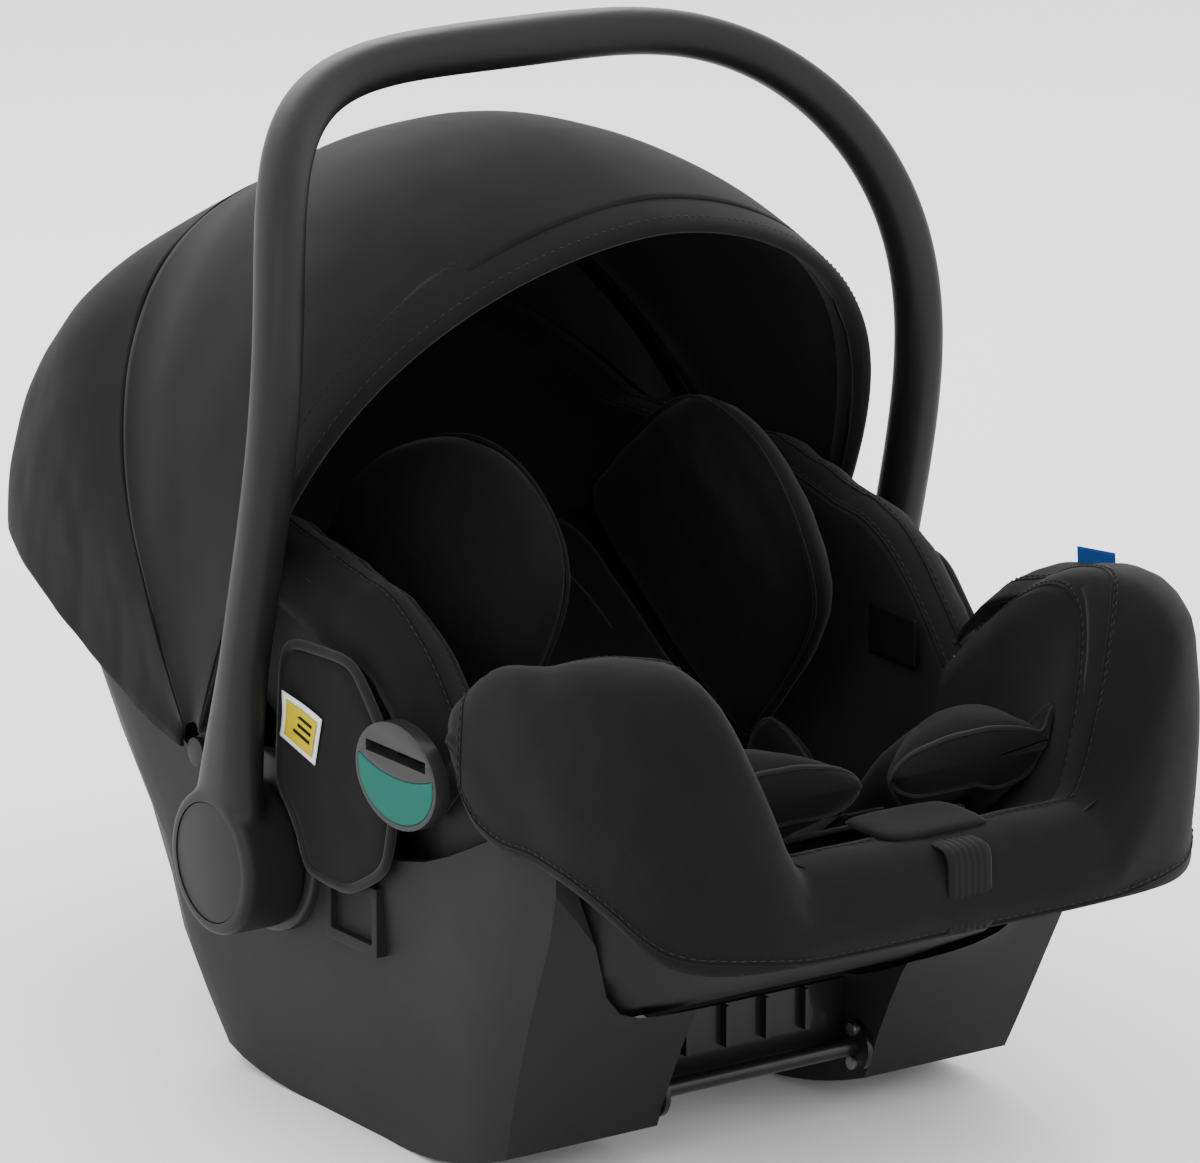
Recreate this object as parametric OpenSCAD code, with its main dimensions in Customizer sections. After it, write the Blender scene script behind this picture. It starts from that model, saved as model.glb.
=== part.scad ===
// Infant car seat: a rear-facing baby shell on two rocker skirts, with a carrying handle that
// swings on two hubs, a fold-back canopy on two bows, a padded liner, a head support that slides
// along the back, and a harness with a buckle.
// Frame: +Z up, floor at z = 0, foot end towards -Y, head end towards +Y, left side towards -X.

/* [Shell] */
// Half width of the outer shell at its rim
shell_half_w = 179; // [177:1:181]
// Half length of the outer shell at its rim
shell_half_l = 325; // [318:1:328]
// Wall thickness of the moulded shell and skirts
wall = 3.5; // [3:0.5:4]
// Thickness of the energy-absorbing foam
foam = 21; // [18:1:24]
// Height of the foot lip
lip_z = 200; // [196:1:204]

/* [Rocker skirts] */
// Half width of the clear channel between the skirts
channel_half_w = 68; // [62:1:72]
// Half width over the skirts at their top edge
skirt_top_w = 185; // [184:1:187]
// Half width over the skirts at the floor
skirt_foot_w = 162; // [156:1:168]
// Radius of the rocker curve beyond its flat stretch
rocker_r = 300; // [260:10:360]

/* [Handle] */
// Height of the hub axis above the floor
hub_z = 146; // [144:1:148]
// Position of the hub axis along the seat
hub_y = 41; // [39:1:43]
// Rise of the handle's centreline above the hub axis
handle_rise = 412; // [408:1:416]
// Half width between the centrelines of the handle's arms
handle_half_w = 213; // [212:1:215]
// Radius of a hub
hub_r = 40; // [38:1:42]

/* [Canopy] */
// Height of the canopy pivot
canopy_z = 190; // [188:1:192]
// Position of the canopy pivot along the seat
canopy_y = 95; // [93:1:97]
// Half width of the canopy at its pivots
canopy_half_w = 199; // [196:1:199]
// Angle of the front bow, from level at the head end
front_bow_angle = 117; // [110:1:120]
// Angle of the middle bow
middle_bow_angle = 57; // [54:1:60]

/* [Head support] */
// Slope of the back that the head support slides along
back_slope = 32; // [30:1:34]

/* [Hidden] */

$fn = 48;
plastic = [0.23, 0.23, 0.24];
handle_grey = [0.27, 0.27, 0.28];
cloth = [0.15, 0.15, 0.16];
dark_cloth = [0.08, 0.08, 0.085];
steel = [0.6, 0.6, 0.62];
teal = [0.0, 0.53, 0.47];

middle_y = 8.86;       // middle of the whole seat along its length
mid_y = 12;            // middle of the rim outline
under_cover = 27;      // depth of the cover's back below the shell's outside
cover_t = 8;           // thickness of the padded cover
gap = 0.6;             // clearance between nested layers
under_shell = 4.5;     // clearance over the skirts' hidden top edges
seat_low_y = -120;     // where the seat meets the back
seat_low_z = 118;      // height of the padded surface there
shell_drop = 38;       // from the padded surface down to the shell's underside
latch_r = 5;           // radius of a latch bar
axle_r = 5;            // radius of a hub bolt
press = 5;             // travel of a release button
sides = 16;            // points round the handle's section

// ---- small helpers ----
function mix(a, b, t) = a + (b - a) * t;
function clamp(t) = min(1, max(0, t));
function ease(t) = clamp(t) * clamp(t) * (3 - 2 * clamp(t));
function soft_ramp(t, r) = (t + sqrt(t * t + r * r)) / 2;
function unit(v) = v / norm(v);

// The faces of the walls between equal rings of n points, m of them, back to the first if loop.
// From the ring turn on, the faces are split along their other diagonal.
function ring_walls(n, m, loop, turn = 999) = [for (i = [0:(loop ? m : m - 1) - 1]) for (j = [0:n - 1])
    let (a = i * n + j, b = i * n + (j + 1) % n,
         c = ((i + 1) % m) * n + (j + 1) % n, d = ((i + 1) % m) * n + j)
    each (i < turn ? [[a, b, c], [a, c, d]] : [[a, b, d], [b, c, d]])];

// A solid skin through equal rings of points, closed by its first and last ring,
// or round on itself when loop is true
module skin(rings, loop = false) {
    n = len(rings[0]);
    m = len(rings);
    caps = loop ? [] : [[for (j = [n - 1:-1:0]) j], [for (j = [0:n - 1]) (m - 1) * n + j]];
    polyhedron(points = [for (r = rings) each r], faces = concat(ring_walls(n, m, loop), caps));
}

// The same through rings whose first and last are closed round a middle point each. The second
// half of the rings comes back over the first, and its faces are split alike.
module fan_skin(rings, first, last) {
    n = len(rings[0]);
    m = len(rings);
    fans = [for (j = [0:n - 1]) each [[(j + 1) % n, j, n * m],
        [(m - 1) * n + j, (m - 1) * n + (j + 1) % n, n * m + 1]]];
    polyhedron(points = [for (r = rings) each r, first, last],
               faces = concat(ring_walls(n, m, false, m / 2), fans));
}

module both_sides(right) {
    if (right) mirror([1, 0, 0]) children();
    else children();
}

// A cylinder along X between two places
module x_rod(r, x0, x1, y, z) {
    translate([min(x0, x1), y, z]) rotate([0, 90, 0]) cylinder(r = r, h = abs(x1 - x0));
}

// A plate with the given outline in Y and Z, between two places along X
module x_plate(outline, x0, x1) {
    multmatrix([[0, 0, 1, min(x0, x1)], [1, 0, 0, 0], [0, 1, 0, 0]])
        linear_extrude(abs(x1 - x0)) polygon(outline);
}

// An oval outline in Y and Z
function oval(y, z, ry, rz, n = 40) = [for (a = [0:360 / n:359]) [y + ry * cos(a), z + rz * sin(a)]];

// ---- the bucket ----
// Reach of the rim outline from its middle, in direction a, drawn in by d
function rim_reach(a, d) = let (n = sin(a) > 0 ? 4.5 : 6)
    pow(pow(abs(cos(a)) / (shell_half_w - d), n) + pow(abs(sin(a)) / (shell_half_l - d), n), -1 / n);
// Height of the padded seat and back along the middle of the seat
function seat_z(y) = seat_low_z + 0.64 * (sqrt(pow(y - seat_low_y, 2) + 45 * 45) - 45);
// Height of the shell's underside along its middle: the foot end is deeper than the padding
function under_z(y) = seat_low_z - shell_drop
    + (y < seat_low_y ? 0.58 : 0.64) * (sqrt(pow(y - seat_low_y, 2) + 45 * 45) - 45);
// Height of the rim: foot wings, the dip for the lap belt, then the rise to the head end
function side_rim_z(y) = y < -115 ? 304 - pow(y + 262, 2) / 266
    : y < -20 ? 295 - 64 * pow((y + 20) / 90, 2)
    : 295 + 0.22 * (min(y, 60) + 20) + 0.44 * max(0, y - 200);
function rim_z(x, y) = y > 0 ? side_rim_z(y)
    : mix(lip_z, side_rim_z(y), ease((abs(x) - 90) / 54));
// One ring of a bowl at the share rho of its reach, for the layer at depth d inside the shell
function layer_z(y, d) = d < wall + 0.1 ? under_z(y) + d
    : mix(under_z(y) + d, seat_z(y) - under_cover - cover_t + d, clamp((d - wall) / foam));
function bowl_ring(rho, d, steep, lift, n = 60) = [for (j = [0:n - 1])
    let (a = j * 360 / n, r = rim_reach(a, d), x = rho * r * cos(a), y = mid_y + rho * r * sin(a),
         top = rim_z(r * cos(a), mid_y + r * sin(a)) + lift)
    [x, y, mix(min(layer_z(y, d), top - 4), top, pow(rho, steep))]];
// A bowl-shaped layer between the depths d0 (outside) and d1 (inside)
module bowl(d0, d1, steep0, steep1, lift0, lift1) {
    shares = [0.2, 0.4, 0.58, 0.72, 0.84, 0.91, 0.955, 0.985, 1];
    m = len(shares);
    fan_skin(concat(
        [for (i = [0:m - 1]) bowl_ring(shares[i], d1, steep1, lift1)],
        [for (i = [m - 1:-1:0]) bowl_ring(shares[i], d0, steep0, lift0)]),
        [0, mid_y, layer_z(mid_y, d1)], [0, mid_y, layer_z(mid_y, d0)]);
}

// Height at a place of a bowl's surface at the depth d
function bowl_z(x, y, d, steep, lift) =
    let (a = atan2(y - mid_y, x), r = rim_reach(a, d),
         top = rim_z(r * cos(a), mid_y + r * sin(a)) + lift)
    mix(min(layer_z(y, d), top - 4), top, pow(norm([x, y - mid_y]) / r, steep));
// Height of the padded cover the child sits on
function cover_z(x, y) = bowl_z(x, y, under_cover + cover_t, 8, 5);

module seat_shell() {
    color(plastic) bowl(0, wall, 12, 12, 0, 0);
}

module foam_liner() {
    color("whitesmoke") bowl(wall + gap, wall + gap + foam, 12, 9, 0, -3);
}

module seat_cover() {
    color(cloth) bowl(under_cover, under_cover + cover_t, 9, 8, 5, 5);
}

// ---- the rocker skirts ----
function rocker_z(y) = pow(max(0, abs(y) - 35), 2) / (2 * rocker_r);
// Outer top edge of a skirt: low at the hub, rising to the foot and round the head end
function skirt_top_z(y) = 172 + 0.75 * soft_ramp(y - 165, 50) + 0.5 * soft_ramp(-y - 75, 40) - 8;
// Front and rear edges of a skirt at the height z
function skirt_front_y(z) = -152 - 0.484 * min(z - 22, 140);
function skirt_rear_y(z) = lookup(z, [[0, 140], [20, 152], [60, 180], [110, 194], [150, 228], [300, 338]]);
function skirt_w(z) = skirt_foot_w + (skirt_top_w - skirt_foot_w) * sqrt(clamp(z / 170));
// The place of one point of a skirt's wall. u runs round the wall, s from its top to the floor,
// and d draws the wall in.
function skirt_point(u, s, d) =
    let (side = floor(u), t = u - side,
         along = side == 0 ? t : side == 1 ? 1 : side == 2 ? 1 - t : 0,
         across = side == 0 ? 1 : side == 1 ? 1 - t : side == 2 ? 0 : t,
         y_guess = mix(-200, 300, along),
         outer_top = skirt_top_z(y_guess),
         inner_top = under_z(mix(-190, 300, along)) - 3,
         top = mix(inner_top, outer_top, pow(across, 3)),
         z0 = mix(top, rocker_z(mix(-150, 150, along)), s),
         y = mix(skirt_front_y(z0) + d, skirt_rear_y(z0) - d, along),
         z = mix(top, rocker_z(y), s),
         round_in = (along < 0.5 ? 7 : 30) * pow(abs(2 * along - 1), 12) * across,
         x = mix(channel_half_w + d, skirt_w(z) - d - round_in, across))
    [-x, y, min(z, bowl_z(x, y, 0, 12, 0) - under_shell)];
function skirt_ring(s, d) = [for (side = [0:3]) let (n = side % 2 == 0 ? 21 : 8)
    for (k = [0:n - 1]) skirt_point(side + k / n, s, d)];
module rocker(right) {
    rows = [0, 0.12, 0.25, 0.4, 0.55, 0.7, 0.82, 0.92, 1];
    m = len(rows);
    color(plastic) both_sides(right)
        skin(concat([for (i = [0:m - 1]) skirt_ring(rows[i], 0)],
                    [for (i = [m - 1:-1:0]) skirt_ring(rows[i], wall)]), loop = true);
}

// ---- steel latch bars across the channel ----
module latch_bar(y) {
    reach = channel_half_w - 0.4;
    color(steel) {
        x_rod(latch_r, -reach, reach, y, 40);
        for (side = [-1, 1]) difference() {
            x_rod(14, side * reach, side * (reach - 3), y, 40);
            for (lift = [-9.5, 9.5]) x_rod(2.1, side * (reach + 1), side * (reach - 4), y, 40 + lift);
        }
    }
}

// The front bar stands before a ribbed cross panel that closes the channel
module front_latch_bar() {
    reach = channel_half_w - 0.4;
    color(steel) union() {
        latch_bar(-146);
        translate([-reach, -134, 34]) cube([2 * reach, 3, 41]);
        for (x = [-40, -14, 12, 38]) translate([x, -139, 52]) cube([2.4, 6, 23]);
    }
}

module rear_latch_bar() {
    latch_bar(124);
}

module latch_screws() {
    reach = channel_half_w - 0.4;
    color(steel) for (side = [-1, 1], y = [-146, 124], lift = [-9.5, 9.5]) {
        x_rod(2, side * (reach - 3), side * (reach + 9), y, 40 + lift);
        x_rod(3.6, side * (reach - 3), side * (reach - 5), y, 40 + lift);
    }
}

// ---- back of the shell ----
module rear_belt_guide() {
    y = 236;
    color(teal) translate([0, y, under_z(y) - 7.5]) rotate([back_slope, 0, 0]) difference() {
        translate([-46, -17, -9]) cube([92, 34, 12]);
        translate([-36, -18, -5]) cube([72, 26, 4.5]);
    }
}

module harness_yoke() {
    y = 60;
    color(steel) translate([0, y, under_z(y) - 12]) rotate([back_slope, 0, 0]) difference() {
        translate([-30, -18, -1.2]) cube([60, 36, 2.4]);
        for (x = [-23, 3]) translate([x, 4, -2]) cube([20, 6, 4]);
        translate([-18, -12, -2]) cube([36, 6, 4]);
    }
}

// ---- handle hubs ----
hub_in = 187.6;        // inner face of a handle hub, from the middle plane
hub_out = 225;         // outer face of a handle hub
cavity_in = 193;       // floor of the hub's cavity
button_r = 32.5;       // radius of a release button

module hub_housing(right) {
    color(handle_grey) both_sides(right) difference() {
        union() {
            x_rod(50, -178, -187.3, hub_y + 5, hub_z + 5);
            x_rod(24, -160, -178, hub_y, hub_z);
        }
        x_rod(axle_r, -150, -200, hub_y, hub_z);
    }
}

module hub_bolt(right) {
    color(steel) both_sides(right) {
        x_rod(axle_r, -160, -cavity_in - 0.3, hub_y, hub_z);
        x_rod(9, -cavity_in - 0.3, -cavity_in - 5, hub_y, hub_z);
        x_rod(9, -154, -160, hub_y, hub_z);
    }
}

module handle_hub(right) {
    root = [[hub_y - 39, hub_z], [hub_y - 27, hub_z + 32], [hub_y - 21, hub_z + 60],
            [hub_y + 16, hub_z + 60], [hub_y + 24, hub_z + 34], [hub_y + 39, hub_z]];
    color(handle_grey) both_sides(right) difference() {
        union() {
            x_rod(hub_r, -hub_in, -hub_out, hub_y, hub_z);
            x_plate(root, -201, -hub_out);
        }
        x_rod(button_r + 0.4, -cavity_in, -hub_out - 1, hub_y, hub_z);
        x_rod(axle_r + 0.05, -hub_in + 1, -hub_out, hub_y, hub_z);
    }
}

module release_button(right) {
    color(handle_grey) both_sides(right) difference() {
        union() {
            x_rod(button_r, -216.5, -hub_out + 0.5, hub_y, hub_z);
            x_rod(12, -212, -216.5, hub_y, hub_z);
        }
        x_rod(7, -211, -214, hub_y, hub_z);
    }
}

module lock_gear(right) {
    teeth = 18;
    color("dimgray") both_sides(right) difference() {
        union() {
            x_rod(27, -205.5, -212, hub_y, hub_z);
            for (i = [0:teeth - 1])
                translate([0, hub_y, hub_z]) rotate([i * 360 / teeth, 0, 0])
                    translate([-212, -1.6, 26]) cube([6.5, 3.2, 5]);
        }
        x_rod(10, -204, -213, hub_y, hub_z);
        difference() {
            x_rod(21, -204, -210.6, hub_y, hub_z);
            x_rod(14, -204, -213, hub_y, hub_z);
        }
    }
}

// A coil spring along X, drawn at its pressed length
module lock_spring(right) {
    turns = 3.5;
    steps = 12;
    rise = 11.6;
    wire = 0.9;
    coil = 17.5;
    rings = [for (k = [0:turns * steps])
        let (a = k * 360 / steps, x = -cavity_in - 1.3 - k / (turns * steps) * rise)
        [for (c = [0:60:300])
            [x + wire * sin(c), hub_y + (coil + wire * cos(c)) * cos(a),
             hub_z + (coil + wire * cos(c)) * sin(a)]]];
    color(steel) both_sides(right) skin(rings);
}

// ---- the handle ----
// An arch |X|^p + U^q = 1, with X from -1 to 1 across and U from 0 to 1 up. i runs from -1 to 1:
// even steps of height on the arms, then even steps across the top.
function arch(i, p, q, turn) = let (a = abs(i), s = i < 0 ? -1 : 1, x_turn = pow(1 - pow(turn, q), 1 / p))
    a > 0.5 ? let (u = 2 * (1 - a) * turn) [s * pow(1 - pow(u, q), 1 / p), u]
    : let (x = 2 * a * x_turn) [s * x, pow(1 - pow(x, p), 1 / q)];
// The centreline leans forward up the arms and back over the top
function handle_centre(i) = let (c = arch(i, 3.96, 5.44, 0.86), u = c[1])
    [handle_half_w * c[0], hub_y - 33.5 * u - 159.5 * u * u + 239.8 * pow(u, 4), hub_z + handle_rise * u];
handle_end = 0.93;     // where an arm meets its hub, as a share of the arch
handle_steps = 46;
function handle_frame(k) =
    let (i = handle_end * (2 * k / handle_steps - 1), c = handle_centre(i),
         t = unit(handle_centre(i + 0.004) - handle_centre(i - 0.004)),
         b = unit([0, 1, 0] - t[1] * t), out = cross(b, t),
         foot = pow(abs(i) / handle_end, 10),
         half_t = mix(13.6, 12.2, ease(2 * abs(i))), half_w = mix(15.5, 14, ease(2 * abs(i))) + 6 * foot)
    [c, out, b, half_t, half_w];
// One half of the hollow oval section: the outer half faces away from the seat
function handle_half(k, side, cut) =
    let (f = handle_frame(k), n = sides / 2)
    [for (layer = [0, 1]) for (j = [0:n])
        let (a = layer == 0 ? j * 180 / n : 180 - j * 180 / n, t = f[3] - layer * 3, w = f[4] - layer * 3,
             up = sin(a) * t)
        f[0] + side * (up + cut) * f[1] + side * cos(a) * w * f[2]];
module handle_outer() {
    color(handle_grey) skin([for (k = [0:handle_steps]) handle_half(k, -1, 0.1)]);
}

module handle_inner() {
    color(handle_grey) skin([for (k = [0:handle_steps]) handle_half(k, 1, 0.1)]);
}

// ---- the canopy ----
// Reach of the canopy from its pivot line in the direction phi, and the exponents of its arch
function canopy_reach(phi) = lookup(phi, [[0, 228], [25, 277], [42, 324], [75, 321], [117, 330]]);
function canopy_p(phi) = lookup(phi, [[25, 7], [42, 4], [60, 1.9], [117, 1.75]]);
function canopy_q(phi) = lookup(phi, [[25, 6.5], [42, 4.2], [60, 2.9], [117, 3.75]]);
function canopy_point(phi, i, d) =
    let (c = arch(i, canopy_p(phi), canopy_q(phi), 0.85), r = (canopy_reach(phi) - d) * c[1])
    [(canopy_half_w - d) * c[0], canopy_y + r * cos(phi), canopy_z + r * sin(phi)];
canopy_end = 0.97;     // how far the cloth runs down to the pivots
// A strip of canopy between two directions, from the depth d0 to d1 under its surface
module canopy_strip(low, high, d0, d1, steps, edge = 0) {
    n = 36;
    rings = [for (k = [0:n])
        let (i = canopy_end * (2 * k / n - 1), from = low - edge * pow(abs(i), 6))
        concat([for (j = [0:steps]) canopy_point(mix(from, high, j / steps), i, d0)],
               [for (j = [steps:-1:0]) canopy_point(mix(from, high, j / steps), i, d1)])];
    skin(rings);
}

// A flat bow at the depth d under the canopy's surface, with an eye round each rivet
module bow(angle, d) {
    n = 44;
    eye = canopy_half_w - d - 2.9;
    function edge(k, depth) = let (i = 0.991 * (2 * k / n - 1),
            c = arch(i, canopy_p(angle), canopy_q(angle), 0.85))
        [(canopy_half_w - depth) * c[0], (canopy_reach(angle) - depth) * c[1]];
    translate([0, canopy_y, canopy_z]) rotate([angle, 0, 0]) difference() {
        union() {
            linear_extrude(10, center = true) polygon(concat(
                [for (k = [0:n]) edge(k, d)], [for (k = [n:-1:0]) edge(k, d + 2.6)]));
            for (side = [-1, 1]) x_rod(9, side * eye, side * (eye + 3.2), 0, 0);
        }
        for (side = [-1, 1]) x_rod(4.05, side * (eye - 4), side * (eye + 8), 0, 0);
    }
}

module canopy_front_bow() {
    color("dimgray") bow(front_bow_angle - 2, 4.4);
}

// The middle bow's eyes sit inside the front bow's
module canopy_middle_bow() {
    color("dimgray") bow(middle_bow_angle, 8.2);
}

module canopy_rear_panel() {
    color(cloth) canopy_strip(22, middle_bow_angle - 0.4, 0, 3, 7, 20);
}

module canopy_front_panel() {
    color(cloth) canopy_strip(middle_bow_angle + 0.4, front_bow_angle - 4, 0, 3, 8);
}

module canopy_hem() {
    color(cloth) canopy_strip(front_bow_angle - 3.6, front_bow_angle + 1.6, -1, 3.6, 2);
}

module canopy_rivet(right) {
    color("dimgray") both_sides(right) {
        x_rod(4, -176, -196.5, canopy_y, canopy_z);
        x_rod(8, -196.5, -199.5, canopy_y, canopy_z);
    }
}

// ---- fabric over the foot end ----
module foot_cover() {
    steps = 40;
    function bottom_z(x, y) = mix(162, 205, ease((y + 300) / 90) * ease((abs(x) - 120) / 40));
    widen = 1.0156;
    function ring(a) = [for (p = [[-13, 7, 0], [-13, 0, 1], [-6, 0, 1], [-6, 7, 0]])
        let (r = rim_reach(a, p[0]), x = widen * r * cos(a), y = mid_y + r * sin(a))
        [x, y, p[2] == 1 ? bottom_z(x, y) : rim_z(x, y) + p[1]]];
    color(cloth) skin([for (k = [0:steps]) ring(mix(220.5, 319.5, k / steps))]);
}

// ---- sides of the shell: flap, belt guide, adapter socket ----
module side_flap(right) {
    color(cloth) both_sides(right) difference() {
        multmatrix([[0, 0, 1, -195], [1, 0, 0, 0], [0, 1, 0, 0]]) linear_extrude(7) hull() {
            for (c = [[-84, 222, 12], [-72, 176, 14], [-44, 158, 12], [-8, 158, 10], [12, 192, 10],
                      [6, 262, 10], [-48, 262, 12]])
                translate([c[0], c[1]]) circle(c[2]);
        }
        x_rod(hub_r + 3, -180, -200, hub_y, hub_z);
    }
}

guide_y = -112;
guide_z = 228;
module belt_guide(right) {
    color(plastic) both_sides(right) difference() {
        union() {
            x_plate(oval(guide_y, guide_z, 38, 28), -196, -204.5);
            x_rod(9, -182.6, -197, guide_y - 6, guide_z - 4);
        }
        translate([-206, guide_y - 28, guide_z + 8]) cube([11, 56, 6]);
        guide_crescent(0.3, -206);
    }
}

// The crescent along the lower edge of a belt guide, grown by the clearance grow
module guide_crescent(grow, outer) {
    difference() {
        x_plate(oval(guide_y, guide_z, 35 + grow, 25 + grow), -200, outer);
        x_plate(oval(guide_y, guide_z + 24, 52 - grow, 25 - grow), -199, outer - 1);
    }
}

module belt_insert(right) {
    color(teal) both_sides(right) guide_crescent(0, -205);
}

module adapter_socket(right) {
    color(plastic) both_sides(right) difference() {
        translate([-187.5, -66, 114]) cube([8, 50, 38]);
        translate([-188.5, -61, 120]) cube([6, 40, 26]);
    }
}

// ---- padding that follows the seat and back ----
// A pad with a rounded section between two places along the seat, lifted off the padded surface
module pad(y0, y1, x0, x1, half_w, thick, lift, steps = 8) {
    skin([for (k = [0:steps])
        let (t = k / steps, y = mix(y0, y1, t), middle = mix(x0, x1, t))
        [for (j = [0:15]) let (a = j * 22.5, x = middle + half_w * sign(cos(a)) * sqrt(abs(cos(a))))
            [x, y, cover_z(x, y) + lift + thick / 2 * (1 + sign(sin(a)) * sqrt(abs(sin(a))))]]]);
}

insert_half_w = 70;    // half width of the body insert
module body_insert() {
    color(dark_cloth) pad(-246, -32, 0, 0, insert_half_w, 13, 8, 20);
}

module hip_bolster(right) {
    steps = 10;
    front = -256;
    rear = -158;
    outer = 118;
    color(dark_cloth) both_sides(right) skin([for (k = [0:steps])
        let (t = k / steps, y = mix(front, rear, t), inner = mix(5, 40, ease(2 * t)),
             tall = 20 + 11 * sin(180 * t), z = seat_z(y) + 25 + tall)
        [for (j = [0:19])
            let (a = j * 18, x = (inner + outer) / 2 - (outer - inner) / 2 * cos(a),
                 under = cover_z(x, y) + mix(24, 9, clamp((x - insert_half_w - 2) / 8)))
            [-x, y, max(z + tall * sin(a), under + (1 + sin(a)) * 2)]]]);
}

module shoulder_strap(right) {
    color(dark_cloth) both_sides(right) pad(-156, -36, -21, -38, 18, 2, 25);
}

module shoulder_pad(right) {
    color(dark_cloth) both_sides(right) pad(-128, -48, -25, -36.5, 25, 7, 28);
}

// Where the buckle lies, in its own frame along the slope of the seat's front
buckle_y = -184;
module on_buckle() {
    translate([0, buckle_y, seat_z(buckle_y) + 27]) rotate([-30, 0, 0]) children();
}

// A block with rounded corners, from its middle underneath
module rounded_block(y, z, size, corner) {
    translate([0, y, z]) linear_extrude(size[2]) union() {
        square([size[0] - 2 * corner, size[1]], center = true);
        square([size[0], size[1] - 2 * corner], center = true);
        for (i = [-1, 1], j = [-1, 1])
            translate([i * (size[0] / 2 - corner), j * (size[1] / 2 - corner)]) circle(corner);
    }
}

module buckle_body() {
    color("dimgray") on_buckle() difference() {
        rounded_block(0, 0, [44, 48, 14], 7);
        rounded_block(-4, 7.2, [22.8, 24.8, 14], 4.4);
    }
}

module buckle_button() {
    color("firebrick") on_buckle() rounded_block(-4, 10.5, [22, 24, 6], 4);
}

module buckle_tongues() {
    color(steel) for (side = [-1, 1]) translate([side * 17, -157.5, seat_z(-157.5) + 29.5])
        rotate([-10, 0, 0]) cube([24, 5, 3], center = true);
}

module crotch_strap() {
    color(dark_cloth) pad(-238, -211, 0, 0, 15, 2, 23.5, 4);
}

// ---- harness adjuster at the foot lip ----
module adjuster_button() {
    color("dimgray") translate([0, -258, 202.6]) cylinder(r = 9, h = 5);
}

module adjuster_flap() {
    color(cloth) translate([-35, -308, 209.6]) cube([70, 47, 5]);
}

module adjuster_strap() {
    color(dark_cloth) x_plate([[-296, 207.6], [-327.4, 207.6], [-327.4, 164], [-329, 164],
        [-329, 209.2], [-296, 209.2]], -12, 16);
}

// ---- head support, in its own frame: S up the back, N towards the child ----
module on_back() {
    translate([0, -18, seat_z(-18) + 14]) rotate([back_slope, 0, 0]) children();
}

head_len = 190;        // length of the head support along the back
module head_pad() {
    half = [[0, 0], [98, 0], [110, 22], [108, 100], [101, 140], [92, 158], [80, 164], [70, 158],
            [65, 140], [70, 70], [62, 34], [48, 25], [0, 23]];
    outline = concat(half, [for (i = [len(half) - 2:-1:1]) [-half[i][0], half[i][1]]]);
    side = [[0, 0], [-6, 20], [-6, 112], [2, 142], [18, 158], [44, 166], [120, 166], [160, 150],
            [182, 110], [head_len, 40], [head_len, 0]];
    color(dark_cloth) on_back() intersection() {
        translate([0, head_len + 10, 0]) rotate([90, 0, 0]) linear_extrude(head_len + 20) polygon(outline);
        x_plate(side, -130, 130);
    }
}

module head_shell() {
    color(plastic) on_back() difference() {
        translate([-88, 0, -4.6]) cube([176, head_len, 4]);
        for (x = [-58, 18]) translate([x, 30, -6]) cube([40, 9, 8]);
    }
}

module head_grip() {
    color(handle_grey) on_back() difference() {
        translate([-34, head_len + 0.6, -4.6]) cube([68, 20, 9]);
        translate([-24, head_len + 5, -6]) cube([48, 8, 12]);
    }
}

// ---- small fabric tags ----
module side_tag() {
    color("gold") translate([-197.6, -28, 213]) cube([1.2, 42, 31]);
}

module foot_tag() {
    color("royalblue") translate([177.4, -240, 301]) cube([1.2, 36, 20]);
}

module side_patch() {
    color(dark_cloth) translate([134.8, -105, 228]) cube([1.2, 44, 30]);
}

// The middle of the whole seat, along its length, stands over the origin
module placed() {
    translate([0, -middle_y, 0]) children();
}

placed() seat_shell();
placed() rocker(false);  // rocker_left
placed() rocker(true);  // rocker_right
placed() foam_liner();
placed() seat_cover();
placed() foot_cover();
placed() front_latch_bar();
placed() rear_latch_bar();
placed() latch_screws();
placed() rear_belt_guide();
placed() harness_yoke();
placed() hub_housing(false);  // hub_housing_left
placed() hub_housing(true);  // hub_housing_right
placed() hub_bolt(false);  // hub_bolt_left
placed() hub_bolt(true);  // hub_bolt_right
placed() adapter_socket(false);  // adapter_socket_left
placed() adapter_socket(true);  // adapter_socket_right
placed() side_flap(false);  // side_flap_left
placed() side_flap(true);  // side_flap_right
placed() belt_guide(false);  // belt_guide_left
placed() belt_guide(true);  // belt_guide_right
placed() belt_insert(false);  // belt_insert_left
placed() belt_insert(true);  // belt_insert_right
placed() handle_outer();
placed() handle_inner();
placed() handle_hub(false);  // handle_hub_left
placed() handle_hub(true);  // handle_hub_right
placed() release_button(false);  // release_button_left
placed() release_button(true);  // release_button_right
placed() lock_gear(false);  // lock_gear_left
placed() lock_gear(true);  // lock_gear_right
placed() lock_spring(false);  // lock_spring_left
placed() lock_spring(true);  // lock_spring_right
placed() canopy_rivet(false);  // canopy_rivet_left
placed() canopy_rivet(true);  // canopy_rivet_right
placed() canopy_middle_bow();
placed() canopy_front_bow();
placed() canopy_rear_panel();
placed() canopy_front_panel();
placed() canopy_hem();
placed() head_shell();
placed() head_pad();
placed() head_grip();
placed() body_insert();
placed() hip_bolster(false);  // hip_bolster_left
placed() hip_bolster(true);  // hip_bolster_right
placed() shoulder_strap(false);  // shoulder_strap_left
placed() shoulder_strap(true);  // shoulder_strap_right
placed() shoulder_pad(false);  // shoulder_pad_left
placed() shoulder_pad(true);  // shoulder_pad_right
placed() buckle_tongues();
placed() buckle_body();
placed() buckle_button();
placed() crotch_strap();
placed() adjuster_button();
placed() adjuster_flap();
placed() adjuster_strap();
placed() side_tag();
placed() foot_tag();
placed() side_patch();
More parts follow.
